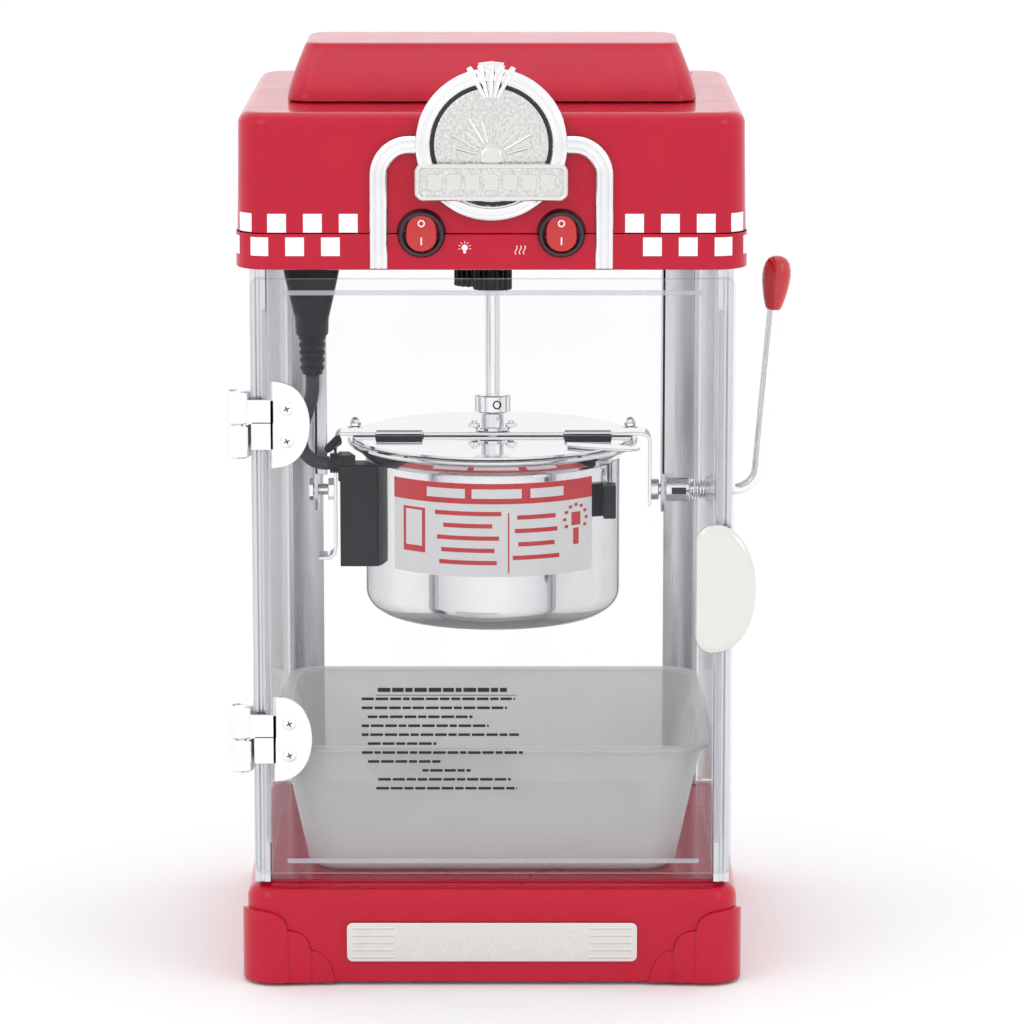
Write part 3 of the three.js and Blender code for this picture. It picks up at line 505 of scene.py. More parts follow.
def add_corner_pads():
    """Three stepped lobes on both faces of each bottom corner, thinnest furthest out."""
    base_low, base_high = span("base_shell")
    half_x, half_y = base_high.x, base_high.y
    corner, foot = 14, base_low.z + 0.1
    lobes = ((0, 20.5, 38.2, 28.8, 2.5), (20.5, 32, 28.3, 18.4, 1.75), (32, 43.8, 18.0, foot, 1.0))
    for end, sy in (("front", -1), ("rear", 1)):
        for side, sx in (("left", -1), ("right", 1)):
            bm = bmesh.new()
            for start, stop, top, low_top, thick in lobes:
                along_side = pad_columns(start, stop, corner, half_x, half_y)
                along_front = [(half_x - (half_y + y), -half_y + (half_x - x), -ny, -nx, reach)
                               for x, y, nx, ny, reach in along_side]
                runs = [along_side[::-1] + along_front[1:]] if start == 0 else [
                    along_side, along_front]
                for run in runs:
                    rings = []
                    for x, y, nx, ny, reach in run:
                        share = min(max((reach - max(start, 8)) / (stop - max(start, 8)), 0), 1)
                        height = low_top + (top - low_top) * math.sqrt(1 - share * share)
                        height = max(height, foot + 1.2)
                        rings.append([((x + nx * out) * sx, (y + ny * out) * -sy, z) for out, z in (
                            (0.05, foot), (thick, foot), (thick, height - 0.7),
                            (thick - 0.25, height - 0.2), (thick - 0.7, height), (0.05, height))])
                    loft(bm, rings)
            name = f"corner_pad_{end}_{side}"
            piece(f"{name}_steps", bm, "cabinet", red_gloss, [name])


def add_nameplate():
    """A plain plate with five grooved ribs at each end and a row of diamonds."""
    low, high = span("nameplate")
    width, height, z = high.x - low.x, high.z - low.z, (low.z + high.z) / 2
    thick = high.y - low.y - 0.4
    plane = at(0, high.y, z) @ FRONT
    bm = bmesh.new()
    slab(bm, width, height, 3, 0, thick, 0.5, place=plane)
    for side in (-1, 1):
        for row in range(-2, 3):
            capsule(bm, (side * 49.5, row * 3.7, thick - 0.35), (side * 69, row * 3.7, thick - 0.35),
                    0.95, 10, plane)
    piece("nameplate_face", bm, "cabinet", plated, ["nameplate"])
    bm = bmesh.new()
    for k in range(-3, 4):
        cx, wide, tall, line = k * 12.6, 4.2, 7.4, 0.3
        corners = [(cx - wide, 0), (cx, tall), (cx + wide, 0), (cx, -tall), (cx - wide, 0)]
        inner = [(cx + (x - cx) * 0.5, y * 0.5) for x, y in corners]
        for ring in (corners, inner):
            for (xa, ya), (xb, yb) in zip(ring, ring[1:]):
                tube(bm, [(xa, ya, thick), (xb, yb, thick)], line, 6, plane)
    piece("nameplate_relief", bm, "cabinet", satin)


add_base()
add_corner_pads()
add_nameplate()
for foot in ("front_left", "front_right", "rear_left", "rear_right"):
    dress(f"foot_{foot}", rubber, 0.5)
dress("bottom_plate", satin, 0.3)
dress("mains_inlet", black, 0.4)


# ------------------------------------------------------------------ columns and panels
def add_columns():
    for side in ("left", "right"):
        low, high = span(f"post_front_{side}")
        x, y = (low.x + high.x) / 2, (low.y + high.y) / 2
        half_x, half_y, groove = (high.x - low.x) / 2, (high.y - low.y) / 2, 0.7
        outline = []
        for sx, sy in ((1, -1), (1, 1), (-1, 1), (-1, -1)):
            outline.append((x + sx * half_x, y + sy * half_y))
            if sx == sy:
                outline += [(x + sx * offset, y + sy * depth) for offset, depth in (
                    (1.2, half_y), (0.6, half_y - groove), (-0.6, half_y - groove),
                    (-1.2, half_y))]
            else:
                outline += [(x + sx * depth, y + sy * offset) for offset, depth in (
                    (-1.2, half_x), (-0.6, half_x - groove), (0.6, half_x - groove),
                    (1.2, half_x))]
        bm = bmesh.new()
        plate(bm, outline, low.z, high.z)
        piece(f"post_front_{side}_extrusion", bm, "cabinet", brushed,
              [f"post_front_{side}"], bevel=0.25)

        low, high = span(f"post_rear_{side}")
        sign = -1 if side == "left" else 1
        outer, inner = (high.x, low.x) if sign > 0 else (low.x, high.x)
        sheet, bow, count = 2.5, 1.6, 12
        face = []
        for k in range(count + 1):
            share = k / count
            face.append((inner + (outer - sign * sheet - inner) * share,
                         high.y - sheet - bow * math.sin(math.pi * share)))
        bm = bmesh.new()
        plate(bm, [(inner, high.y), *face, (outer - sign * sheet, low.y), (outer, low.y),
                   (outer, high.y)], low.z, high.z)
        piece(f"post_rear_{side}_angle", bm, "cabinet", brushed,
              [f"post_rear_{side}"], bevel=0.3)


add_columns()
for panel, clear in (("side_panel_left", clear_side), ("side_panel_right", clear_side),
                     ("back_panel", clear_back)):
    dress(panel, clear, 0.25)


# ------------------------------------------------------------------ canopy
def add_canopy():
    low, high = span("canopy_skirt")
    width, depth, corner, wall = high.x - low.x, high.y - low.y, 17, 2.5
    levels = [(wall, high.z), (wall, low.z + 0.6), (wall - 0.4, low.z), (0.9, low.z), (0.3, low.z + 0.25),
              (0, low.z + 0.9), (0, high.z - 0.3), (0.3, high.z)]
    bm = bmesh.new()
    loft(bm, inset_rings(width, depth, corner, levels, steps=12), start=False, end=False)
    piece("canopy_skirt_shell", bm, "cabinet", red_gloss, ["canopy_skirt"])

    low, high = span("canopy_shell")
    width, depth, edge, draft = high.x - low.x, high.y - low.y, 6.0, 0.7
    wall_levels = [(0.3, low.z), (0, low.z + 0.3), (draft, high.z - edge)]
    top_levels = [(draft + inset, z) for inset, z in round_high(edge, high.z, 8)[1:]]
    groove = [(19, high.z), (19.6, high.z - 0.4), (23, high.z - 0.5)]
    bm = bmesh.new()
    loft(bm, inset_rings(width, depth, corner, wall_levels + top_levels + groove, steps=12))
    piece("canopy_top", bm, "cabinet", red_gloss, ["canopy_shell"])


def add_crown():
    """The raised roof: steep front and back, long and narrow on top."""
    low, high = span("crown")
    width, depth, corner = high.x - low.x, high.y - low.y, 12
    top_width, top_depth, edge = 188, 70, 4.0
    flange = 2.0
    levels = [(0, low.z), (0, low.z + flange)]
    rings = inset_rings(width, depth, corner, levels, steps=10)
    slope = 14
    for k in range(1, slope + 1):
        share = k / slope
        ease = 0.25 * share + 0.75 * (1 - math.cos(share * math.pi / 2)) ** 0.8
        z = low.z + flange + (high.z - edge * 0.5 - low.z - flange) * share
        rings.append(rounded(width + (top_width - width) * ease, depth + (top_depth - depth) * ease,
                             corner, z, steps=10))
    for inset, z in ((0.6, high.z - 1.0), (1.6, high.z - 0.35), (3.4, high.z)):
        rings.append(rounded(top_width - 2 * inset, top_depth - 2 * inset, corner - inset, z,
                             steps=10))
    bm = bmesh.new()
    loft(bm, rings)
    piece("crown_cap", bm, "cabinet", red_gloss, ["crown"])


def on_wall(distance, half_x, half_y, corner, proud):
    """A plan point and its outward normal, so far along the wall from the front's middle."""
    straight, arc = half_x - corner, math.pi / 2 * corner
    sign, distance = math.copysign(1, distance), abs(distance)
    if distance <= straight:
        point, normal = (distance, -half_y), (0, -1)
    elif distance <= straight + arc:
        angle = (distance - straight) / corner
        normal = (math.sin(angle), -math.cos(angle))
        point = (straight + corner * normal[0], -(half_y - corner) + corner * normal[1])
    else:
        point, normal = (half_x, -(half_y - corner) + distance - straight - arc), (1, 0)
    return sign * (point[0] + normal[0] * proud), point[1] + normal[1] * proud


def add_checkers():
    """Two staggered rows of printed squares round the front corners and both sides."""
    size, pitch, proud = 9.1, 17.4, 0.12
    rows = (("upper", "canopy_shell", 69.5, 0.5, 16.6), ("lower", "canopy_skirt", 78.2, -10.9, 17))
    seam = span("canopy_shell")[0].z
    for row, node, first, lift, corner in rows:
        low, high = span(node)
        bm = bmesh.new()
        last = high.x + high.y * 2 - 34
        count = int((last - first) / pitch)
        for k in range(count):
            for sign in (-1, 1):
                rings = []
                for step in range(5):
                    along = sign * (first + k * pitch + size * (step / 4 - 0.5))
                    ring = []
                    for out, z in ((-0.3, lift), (proud, lift), (proud, lift + size),
                                   (-0.3, lift + size)):
                        x, y = on_wall(along, high.x, high.y, corner, out)
                        ring.append((x, y, seam + z))
                    rings.append(ring)
                loft(bm, rings)
        piece(f"checkers_{row}", bm, "cabinet", white_print)


def add_trims():
    low, high = span("trim_right")
    width, bend = 8.5, 19 - 4.25
    outer, top, foot, thick = high.x - width / 2, high.z - width / 2, low.z, high.y - low.y
    section = [(-4.25, 0), (-4.25, 0.9), (-3.7, 1.6), (-3.0, 1.95), (-2.3, 1.7), (-1.9, 1.1),
               (-1.4, 1.1), (-1.0, 1.7), (0, 2.0), (1.0, 1.7), (1.4, 1.1), (1.9, 1.1),
               (2.3, 1.7), (3.0, 1.95), (3.7, 1.6), (4.25, 0.9), (4.25, 0)]
    section = [(across, out * thick / 2) for across, out in section]
    for side, sign in (("left", -1), ("right", 1)):
        path = [(outer, foot), (outer, top - bend)]
        for k in range(1, 13):
            angle = math.pi / 2 * k / 12
            path.append((outer - bend + bend * math.cos(angle),
                         top - bend + bend * math.sin(angle)))
        path.append((20, top))
        bm = bmesh.new()
        sweep(bm, [(sign * x, z) for x, z in path], section)
        bmesh.ops.translate(bm, vec=(0, high.y, 0), verts=bm.verts)
        piece(f"trim_{side}_moulding", bm, "cabinet", cast_chrome, [f"trim_{side}"])


def add_badge():
    """A round badge with a ridged rim, a pebbled field, plain rays and a fluted fan."""
    low, high = span("badge_medallion")
    radius = (high.x - low.x) / 2
    z, back, thick = low.z + radius, high.y, high.y - low.y
    plane = at(0, back, z) @ FRONT
    bm = bmesh.new()
    pipe(bm, [(radius - 7.6, 0), (radius, 0), (radius, 1.4), (radius - 0.5, 2.2), (radius - 1.6, 2.9),
              (radius - 2.2, 2.5), (radius - 2.6, 2.5), (radius - 3.2, 3.1), (radius - 4.6, thick),
              (radius - 5.8, 2.9), (radius - 6.4, 2.3), (radius - 7.0, 2.2), (radius - 7.6, 1.4)],
         plane, 96)
    for k in range(5):
        lean = math.radians((k - 2) * 11)
        foot = Vector((math.sin(lean) * 8, radius - 14, 2.2))
        head = Vector((math.sin(lean) * 29, radius - 17.5 + math.cos(lean) * 19.5, 3.3))
        points = [foot.lerp(head, share / 6) for share in range(7)]
        tube(bm, points, [0.7, 0.95, 1.2, 1.45, 1.7, 1.9, 1.3], 10, plane)
    plate(bm, [(-3.0, radius - 14), (3.0, radius - 14), (6.2, radius + 2.6), (0, radius + 3.4),
               (-6.2, radius + 2.6)], 0, 2.2, plane)
    piece("badge_rim", bm, "cabinet", cast_chrome, ["badge_medallion"])

    bm = bmesh.new()
    lathe(bm, [(0, 0), (radius - 9.4, 0), (radius - 9.4, 1.5), (radius - 10.2, 1.9), (0, 1.9)],
          plane, 96)
    piece("badge_field", bm, "cabinet", pebbled)
    # painted shade: a dark ring put in the groove between the rim and the pebbled field
    bm = bmesh.new()
    pipe(bm, [(radius - 9.6, 0), (radius - 7.4, 0), (radius - 7.4, 0.7), (radius - 9.6, 0.7)],
         plane, 96)
    piece("badge_groove_painted_shade", bm, "cabinet", painted_shade_dark)

    bm = bmesh.new()
    for k in range(11):
        lean = math.radians(-75 + 15 * k)
        near, far = 7.5, 21.5 if k % 2 else 17.5
        centre_z = -6.0
        capsule(bm, (math.sin(lean) * near, centre_z + math.cos(lean) * near, 1.9),
                (math.sin(lean) * far, centre_z + math.cos(lean) * far, 1.9), 0.75, 10, plane)
    lathe(bm, [(0, 1.5), (5.4, 1.5), (5.2, 2.4), (4.2, 2.9), (0, 3.1)], plane @ at(0, -6, 0), 40)
    piece("badge_rays", bm, "cabinet", plated)

    low, high = span("badge_banner")
    width, height, thick = high.x - low.x, high.z - low.z, high.y - low.y
    plane = at(0, high.y, (low.z + high.z) / 2) @ FRONT
    bm = bmesh.new()
    levels = [(2.4, 0.9), (2.2, thick - 0.5), (1.7, thick - 0.1), (1.1, thick), (0.5, thick - 0.2),
              (0, thick - 0.9), (0, 0.3), (0.3, 0)]
    loft(bm, inset_rings(width, height, 4, levels, steps=8), plane)
    piece("banner_frame", bm, "cabinet", plated, ["badge_banner"])
    bm = bmesh.new()
    slab(bm, width - 4.6, height - 4.6, 2, 0.5, 1.4, 0.1, place=plane)
    piece("banner_field", bm, "cabinet", pebbled)
    bm = bmesh.new()
    for k in range(-3, 4):
        slab(bm, 7.0, 7.6, 1.6, 1.0, 2.1, 0.35, x=k * 9.1, place=plane)
        slab(bm, 3.6, 4.0, 0.9, 2.0, 2.35, 0.15, x=k * 9.1, place=plane)
    piece("banner_lozenges", bm, "cabinet", plated)


add_canopy()
add_crown()
add_checkers()
add_trims()
add_badge()
dress("ceiling_plate", satin, 0.2)
dress("gearmotor", satin, 0.6)
dress("lamp_socket", black, 0.5)


# ------------------------------------------------------------------ switches
def add_switches():
    """Round bezels with a round-cornered rocker each, and a plain icon beside each."""
    pivot_y, tilt, width, height, corner = -116, math.radians(-10), 15, 18, 7.2
    seat = 14.8                     # the bezel's flange is this far in front of its back

    def crown_y(v):
        return 3.3 + 1.3 * abs(v) / 9

    for name in ("light", "heat"):
        low, high = span(f"bezel_{name}")
        x, z, radius = (low.x + high.x) / 2, (low.z + high.z) / 2, (high.x - low.x) / 2
        plane = at(x, high.y - seat, z) @ FRONT
        face = high.y - seat - low.y
        bm = bmesh.new()
        rings = [circle(r, t, 64) for r, t in (
            (11.8, -9), (11.8, 0), (radius, 0), (radius, 0.7), (radius - 0.5, 1.4),
            (radius - 2.0, face - 0.1), (radius - 3.2, face), (9.0, face - 0.5))]
        for depth in (face - 1.2, -9):
            rings.append([(px, py * 1.17, depth) for px, py, _ in circle(8.05, depth, 64)])
        rings.append(rings[0])
        loft(bm, rings, plane, start=False, end=False)
        piece(f"bezel_{name}_ring", bm, "cabinet", bezel_black, [f"bezel_{name}"])

        bm = bmesh.new()
        rings = [rounded(width, height, corner, -4, steps=6)]
        for scale, drop in ((1.0, 0.7), (0.975, 0.25), (0.93, 0.0), (0.7, 0), (0.45, 0), (0.2, 0),
                            (0.02, 0)):
            rings.append([(px * scale, py * scale, crown_y(py * scale) - drop)
                          for px, py, _ in rounded(width, height, corner, 0, steps=6)])
        lean = at(x, pivot_y, z) @ Matrix.Rotation(tilt, 4, "X") @ FRONT
        loft(bm, rings, lean)
        body = f"rocker_{name}"
        piece(f"{body}_cap", bm, body, rocker_red, [body])

        bm = bmesh.new()
        slope = math.atan(1.3 / 9)
        upper = lean @ at(0, 4.6, crown_y(4.6)) @ Matrix.Rotation(slope, 4, "X")
        pipe(bm, [(1.75, -0.3), (1.75, 0.12), (1.15, 0.12), (1.15, -0.3)], upper, 32)
        lower = lean @ at(0, -4.0, crown_y(4.0)) @ Matrix.Rotation(-slope, 4, "X")
        slab(bm, 0.7, 3.8, 0.25, -0.3, 0.12, 0.05, place=lower)
        piece(f"{body}_marks", bm, body, white_print)

    wall = span("canopy_skirt")[0].y
    plane = at(0, wall, 370.9) @ FRONT
    bm = bmesh.new()
    bulb_x, heat_x = -13, 14
    lathe(bm, [(0, 0), (1.5, 0), (1.5, 0.12), (0, 0.12)], plane @ at(bulb_x, 0.9, 0), 24)
    slab(bm, 1.3, 1.1, 0.2, 0, 0.12, 0.04, x=bulb_x, y=-1.3, place=plane)
    for k in range(-3, 4):
        lean = math.radians(k * 34)
        near, far = 2.2, 3.1
        capsule(bm, (bulb_x + near * math.sin(lean), 0.9 + near * math.cos(lean), 0.05),
                (bulb_x + far * math.sin(lean), 0.9 + far * math.cos(lean), 0.05), 0.16, 6, plane)
    for k in range(-1, 2):
        wave = [(heat_x + k * 2.0 + 0.5 * math.sin(v * 1.4), v - 0.2, 0.05)
                for v in (n * 0.3 - 2.1 for n in range(15))]
        tube(bm, wave, 0.22, 6, plane)
    piece("switch_icons", bm, "cabinet", white_print)


# ------------------------------------------------------------------ door
def add_door():
    low, high = span("door_panel")
    width, height, thick = high.x - low.x, high.z - low.z, high.y - low.y
    x, z = (low.x + high.x) / 2, (low.z + high.z) / 2
    plane = at(x, high.y, z) @ FRONT
    bm = bmesh.new()
    slab(bm, width, height, 4, 0, thick, 0.7, place=plane)
    piece("door_sheet", bm, "door", clear_door, ["door_panel"])

    inset, bead, gap = 6.8, 2.4, 9
    bm = bmesh.new()
    for sign in (-1, 1):
        slab(bm, bead, height - 2 * inset - 2 * gap, 1.1, thick - 0.2, thick + 0.6, 0.35,
             x=sign * (width / 2 - inset), place=plane)
        slab(bm, width - 2 * inset - 2 * gap, bead, 1.1, thick - 0.2, thick + 0.6, 0.35,
             y=sign * (height / 2 - inset), place=plane)
    piece("door_beads", bm, "door", clear_bead)

    bm = bmesh.new()
    left, top, leading = -64.5, 151.0, 4.55
    lines = ((8, 64, 1.1), (0, 76, 0), (0, 72, 0), (3, 52, 0), (0, 63, 0), (0, 78, 0), (3, 34, 0),
             (0, 80, 0), (3, 36, 0), (30, 24, 0), (8, 66, 0), (7, 70, 0))
    for row, (indent, length, heavy) in enumerate(lines):
        y = top - row * leading - z
        start = left + indent
        stop = start + length
        while start < stop:
            word = 3.0 + 3.4 * abs(math.sin(12.9 * (row + 1) + 0.37 * start))
            end = min(start + word, stop)
            slab(bm, end - start, 1.35 + heavy * 0.7, 0.3, thick, thick + 0.08, 0.03,
                 x=(start + end) / 2 - x, y=y, place=plane, steps=2)
            start = end + 0.8
    slab(bm, 70, 0.3, 0.1, thick, thick + 0.08, 0.03, x=left + 42 - x, y=top - 2.7 - z, place=plane)
    piece("door_notice", bm, "door", dark_print)


def add_handle():
    low, high = span("door_handle")
    half, thick, wide = (high.z - low.z) / 2, high.y - low.y, high.x - low.x
    plane = at(low.x, high.y, (low.z + high.z) / 2) @ FRONT

    def outline(shrink):
        points = []
        for k in range(33):
            angle = math.radians(-90 + 180 * k / 32)
            x = 8 + (wide - 8 - shrink) * math.cos(angle) ** 0.86 if abs(angle) < 1.57 else 8
            points.append((x, (half - shrink) * math.sin(angle)))
        for k in range(7):
            angle = math.radians(90 + 90 * k / 6)
            points.append((shrink + (8 - shrink) * (1 + math.cos(angle)),
                           half - 8 + (8 - shrink) * math.sin(angle)))
        points += [(x, -y) for x, y in points[:32:-1]]
        return points

    bm = bmesh.new()
    levels = [(0.6, 0), (0, 0.6), (0, thick - 1.6), (0.5, thick - 0.9), (1.8, thick - 0.5),
              (2.4, thick - 0.1), (3.4, thick)]
    loft(bm, [[(x, y, z) for x, y in outline(inset)] for inset, z in levels], plane)
    piece("door_grip", bm, "door", plated, ["door_handle"])


def add_hinges():
    for name in ("upper", "lower"):
        low, high = span(f"hinge_post_leaf_{name}")
        axis_x, axis_y, radius = low.x + 6, low.y + 6, 6
        leaf_high = span(f"hinge_door_leaf_{name}")[1]
        foot, head, split = low.z, leaf_high.z - 4.9, low.z + 16.6
        knuckle = [(0, 14), (2.7, 14), (2.7, 0.35), (radius - 0.7, 0.35), (radius, 1.0)]
        bm = bmesh.new()
        rise = head - split
        lathe(bm, [*knuckle, (radius, rise - 0.8), (radius - 0.8, rise), (4.4, rise),
                   (4.2, rise - 0.6), (0, rise - 0.6)], at(axis_x, axis_y, split), 48)
        plane = at(axis_x, -113.8, split) @ FRONT
        oval = [(16, -21.5)]
        for k in range(25):
            angle = math.radians(-90 + 180 * k / 24)
            oval.append((16 + 19.2 * max(math.cos(angle), 0) ** 0.8, 21.5 * math.sin(angle)))
        oval.append((16, 21.5))
        plate(bm, oval, 0, 2, plane)
        slab(bm, 18.5, 12, 0.6, 0, 2, 0.35, x=8.5, y=6.3, place=plane)
        slab(bm, 11, 14, 0.6, 0, 2, 0.35, x=12.0, y=-5.5, place=plane)
        piece(f"hinge_{name}_door_leaf", bm, "door", chrome,
              [f"hinge_door_leaf_{name}"], bevel=0.45)

        bm = bmesh.new()
        drop = split - foot
        lathe(bm, [(0, 0.5), (4.2, 0.5), (4.4, 0), (radius - 0.8, 0), (radius, 0.8),
                   (radius, drop - 1.0), (radius - 0.7, drop - 0.35), (0, drop - 0.35)],
              at(axis_x, axis_y, foot), 48)
        lathe(bm, [(2.4, -2), (2.4, 12), (1.8, 12.8), (0, 13)], at(axis_x, axis_y, split), 24)
        block(bm, axis_x + 4.1, axis_x + 5.6, axis_y + 1.5, high.y, foot + 0.4, split - 0.4, 0.3, 0.4)
        piece(f"hinge_{name}_post_leaf", bm, "cabinet", chrome,
              [f"hinge_post_leaf_{name}"])

        # painted shade: dark bars on the chrome screw heads stand in for the shadow in their slots
        heads, slots = bmesh.new(), bmesh.new()
        for z in (-8.0, 8.0):
            place = plane @ at(24, z, 2)
            lathe(heads, [(0, -0.2), (3.6, -0.2), (3.6, 0.2), (3.2, 0.9), (2.2, 1.5), (0, 1.75)],
                  place, 32)
            for turn in (0.4, 0.4 + math.pi / 2):
                slab(slots, 3.0, 0.62, 0.2, 1.2, 1.78, 0.05,
                     place=place @ Matrix.Rotation(turn, 4, "Z"), steps=2)
        piece(f"hinge_{name}_screws", heads, "door", chrome)
        piece(f"hinge_{name}_slot_shade", slots, "door", painted_shade_dark)


# ------------------------------------------------------------------ kettle
def add_kettle():
    low, high = span("kettle_drum")
    radius, y = (high.x - low.x) / 2, (low.y + high.y) / 2
    kettle_at = at(0, y, 0)
    bottom, top = low.z, high.z
    bm = bmesh.new()
    curve = [(radius - 12 + 12 * math.sin(a), bottom + 12 - 12 * math.cos(a))
             for a in (math.pi / 2 * k / 10 for k in range(11))]
    lathe(bm, [(0, bottom), (40, bottom), *curve, (radius, top - 1.2), (radius - 0.3, top),
               (radius - 1.6, top)], kettle_at, 128)
    piece("kettle_outer_drum", bm, "kettle", polished, ["kettle_drum"])

    low, high = span("kettle_pan")
    lip, rim, inner = (high.x - low.x) / 2, high.z, 62.2
    bm = bmesh.new()
    pipe(bm, [(inner, 190), (inner, rim - 6), (lip - 3.2, rim - 0.4), (lip - 2.4, rim),
              (lip - 0.8, rim), (lip - 0.1, rim - 0.7), (lip, rim - 1.6), (lip - 0.5, rim - 2.6),
              (lip - 1.6, rim - 3.4), (radius + 1.4, top + 1.4), (radius + 0.4, top + 0.5),
              (63.8, top + 0.3), (63.8, 190)], kettle_at, 128)
    lathe(bm, [(0, 186.5), (55, 186.5), (61.5, 189.5), (63.8, 194), (62.2, 194), (60, 190.5),
               (54.4, 188.5), (0, 188.5)], kettle_at, 96)
    piece("kettle_pan_and_lip", bm, "kettle", polished, ["kettle_pan"])

    # a plain curved label: a coloured band over a pale field with greeked lines
    def wrapped(bm, turn, z, half_turn, half_z, proud, back=0.0, steps=24):
        rings = []
        for k in range(steps + 1):
            angle = math.radians(turn - half_turn + 2 * half_turn * k / steps)
            rings.append([(r * math.sin(angle), y - r * math.cos(angle), height)
                          for r, height in ((radius + back, z - half_z), (radius + proud, z - half_z),
                                            (radius + proud, z + half_z), (radius + back, z + half_z))])
        loft(bm, rings)

    field, band = bmesh.new(), bmesh.new()
    wrapped(field, 0.5, 219.5, 49.5, 24.0, 0.10)
    piece("kettle_label", field, "kettle", label_paper)
    wrapped(band, 0.5, 238.2, 49.5, 5.2, 0.18)
    for row, (turn, half) in enumerate(((-6, 15), (-6, 11), (-6, 14), (-6, 12), (-6, 13))):
        wrapped(band, turn - 5, 228.0 - row * 6.3, half, 1.1, 0.18, steps=10)
    for row, half in enumerate((9, 10, 8.5, 11)):
        wrapped(band, 20, 226.0 - row * 6.9, half, 1.1, 0.18, steps=10)
    wrapped(band, 7.2, 213, 0.3, 15.5, 0.18, steps=2)
    wrapped(band, -37, 218, 6.0, 11.5, 0.15, steps=8)
    for k in range(9):
        lean = math.radians(-120 + 30 * k)
        wrapped(band, 40 + 6.2 * math.sin(lean), 223 + 7.2 * math.cos(lean), 0.9, 0.8, 0.18, steps=2)
    wrapped(band, 40, 223, 2.6, 3.4, 0.18, steps=4)
    wrapped(band, 40, 214, 1.6, 4.2, 0.18, steps=4)
    piece("kettle_label_print", band, "kettle", label_red)
    bm = bmesh.new()
    wrapped(bm, -37, 219, 4.4, 9.2, 0.24, steps=8)
    for turn, half in ((-21, 9), (2, 11), (25, 8)):
        wrapped(bm, turn, 238.2, half, 2.4, 0.24, steps=8)
    piece("kettle_label_panels", bm, "kettle", label_paper)


def add_lids():
    """Two half lids: the back one is fixed, the front one lifts on two knuckles."""
    low, high = span("lid_rear")
    radius, y, z0, z1 = (high.x - low.x) / 2, high.y - (high.x - low.x) / 2, low.z, high.z
    knuckles = (-48, 49)

    def half_disc(start, sweep):
        return [(radius * math.cos(a), y + radius * math.sin(a))
                for a in (start + sweep * k / 64 for k in range(65))]

    angle = math.asin((low.y - y) / radius)
    bm = bmesh.new()
    plate(bm, half_disc(angle, math.pi - 2 * angle), z0, z1)
    piece("lid_back_half", bm, "kettle", polished, ["lid_rear"], bevel=0.3)

    gap = 0.3
    angle = math.asin((low.y - gap - y) / radius)
    bm = bmesh.new()
    plate(bm, half_disc(math.pi - angle, math.pi + 2 * angle), z0, z1)
    for x in knuckles:
        lathe(bm, [(0, x - 12), (1.5, x - 12), (1.8, x - 11.6), (1.8, x + 11.6), (1.5, x + 12),
                   (0, x + 12)], at(0, 3, 260.1) @ Matrix.Rotation(math.pi / 2, 4, "Y"), 24)
        block(bm, x - 11, x + 11, 1.6, 3.2, z1 - 0.4, 259.8, 0.2, 0.2)
    piece("lid_front_half", bm, "lid_flap", polished, ["lid_front"], bevel=0.3)

    # the lifting tab reaches forward from the flap's right side
    bm = bmesh.new()
    tab = [(38, -34), (50, -38), (60, -40), (72, -46), (75, -50), (74, -54), (70, -56),
           (58, -53), (47, -49), (38, -44)]
    plate(bm, [(x, y + depth) for x, depth in tab], z1 + 0.1, z1 + 1.4)
    piece("lid_tab", bm, "lid_flap", polished, bevel=0.4)
    bm = bmesh.new()
    for x in knuckles:
        block(bm, x - 12, x + 12, -3.2, 1.2, z1 - 0.1, z1 + 1.6, 0.3, 0.5)
    piece("lid_hinge_leaves", bm, "lid_flap", black)
    bm = bmesh.new()
    for x in knuckles:
        block(bm, x - 12.5, x + 12.5, 5.2, 9.5, z1 - 0.1, z1 + 1.5, 0.3, 0.5)
    piece("lid_hinge_backs", bm, "kettle", black)


def bent_strip(points, thickness):
    """The outline of a thin strip that follows points, thickened to its left."""
    offset = []
    for i, (x, z) in enumerate(points):
        (xa, za), (xb, zb) = points[max(i - 1, 0)], points[min(i + 1, len(points) - 1)]
        length = math.hypot(xb - xa, zb - za)
        offset.append((x - (zb - za) / length * thickness, z + (xb - xa) / length * thickness))
    return points + offset[::-1]


def acorn(bm, x, y, z, radius, place=None):
    """A hexagon nut under a dome."""
    spot = at(x, y, z) if place is None else place @ at(x, y, z)
    lathe(bm, [(0, 0), (radius + 1.2, 0), (radius + 1.2, 0.6), (0, 0.6)], spot, 24)
    hexagon(bm, radius, 0.6, 2.6, spot)
    dome = [(radius * 0.82 * math.cos(a), 2.6 + radius * math.sin(a))
            for a in (math.pi / 2 * k / 6 for k in range(7))]
    lathe(bm, [(0, 2.4), *dome], spot, 24)


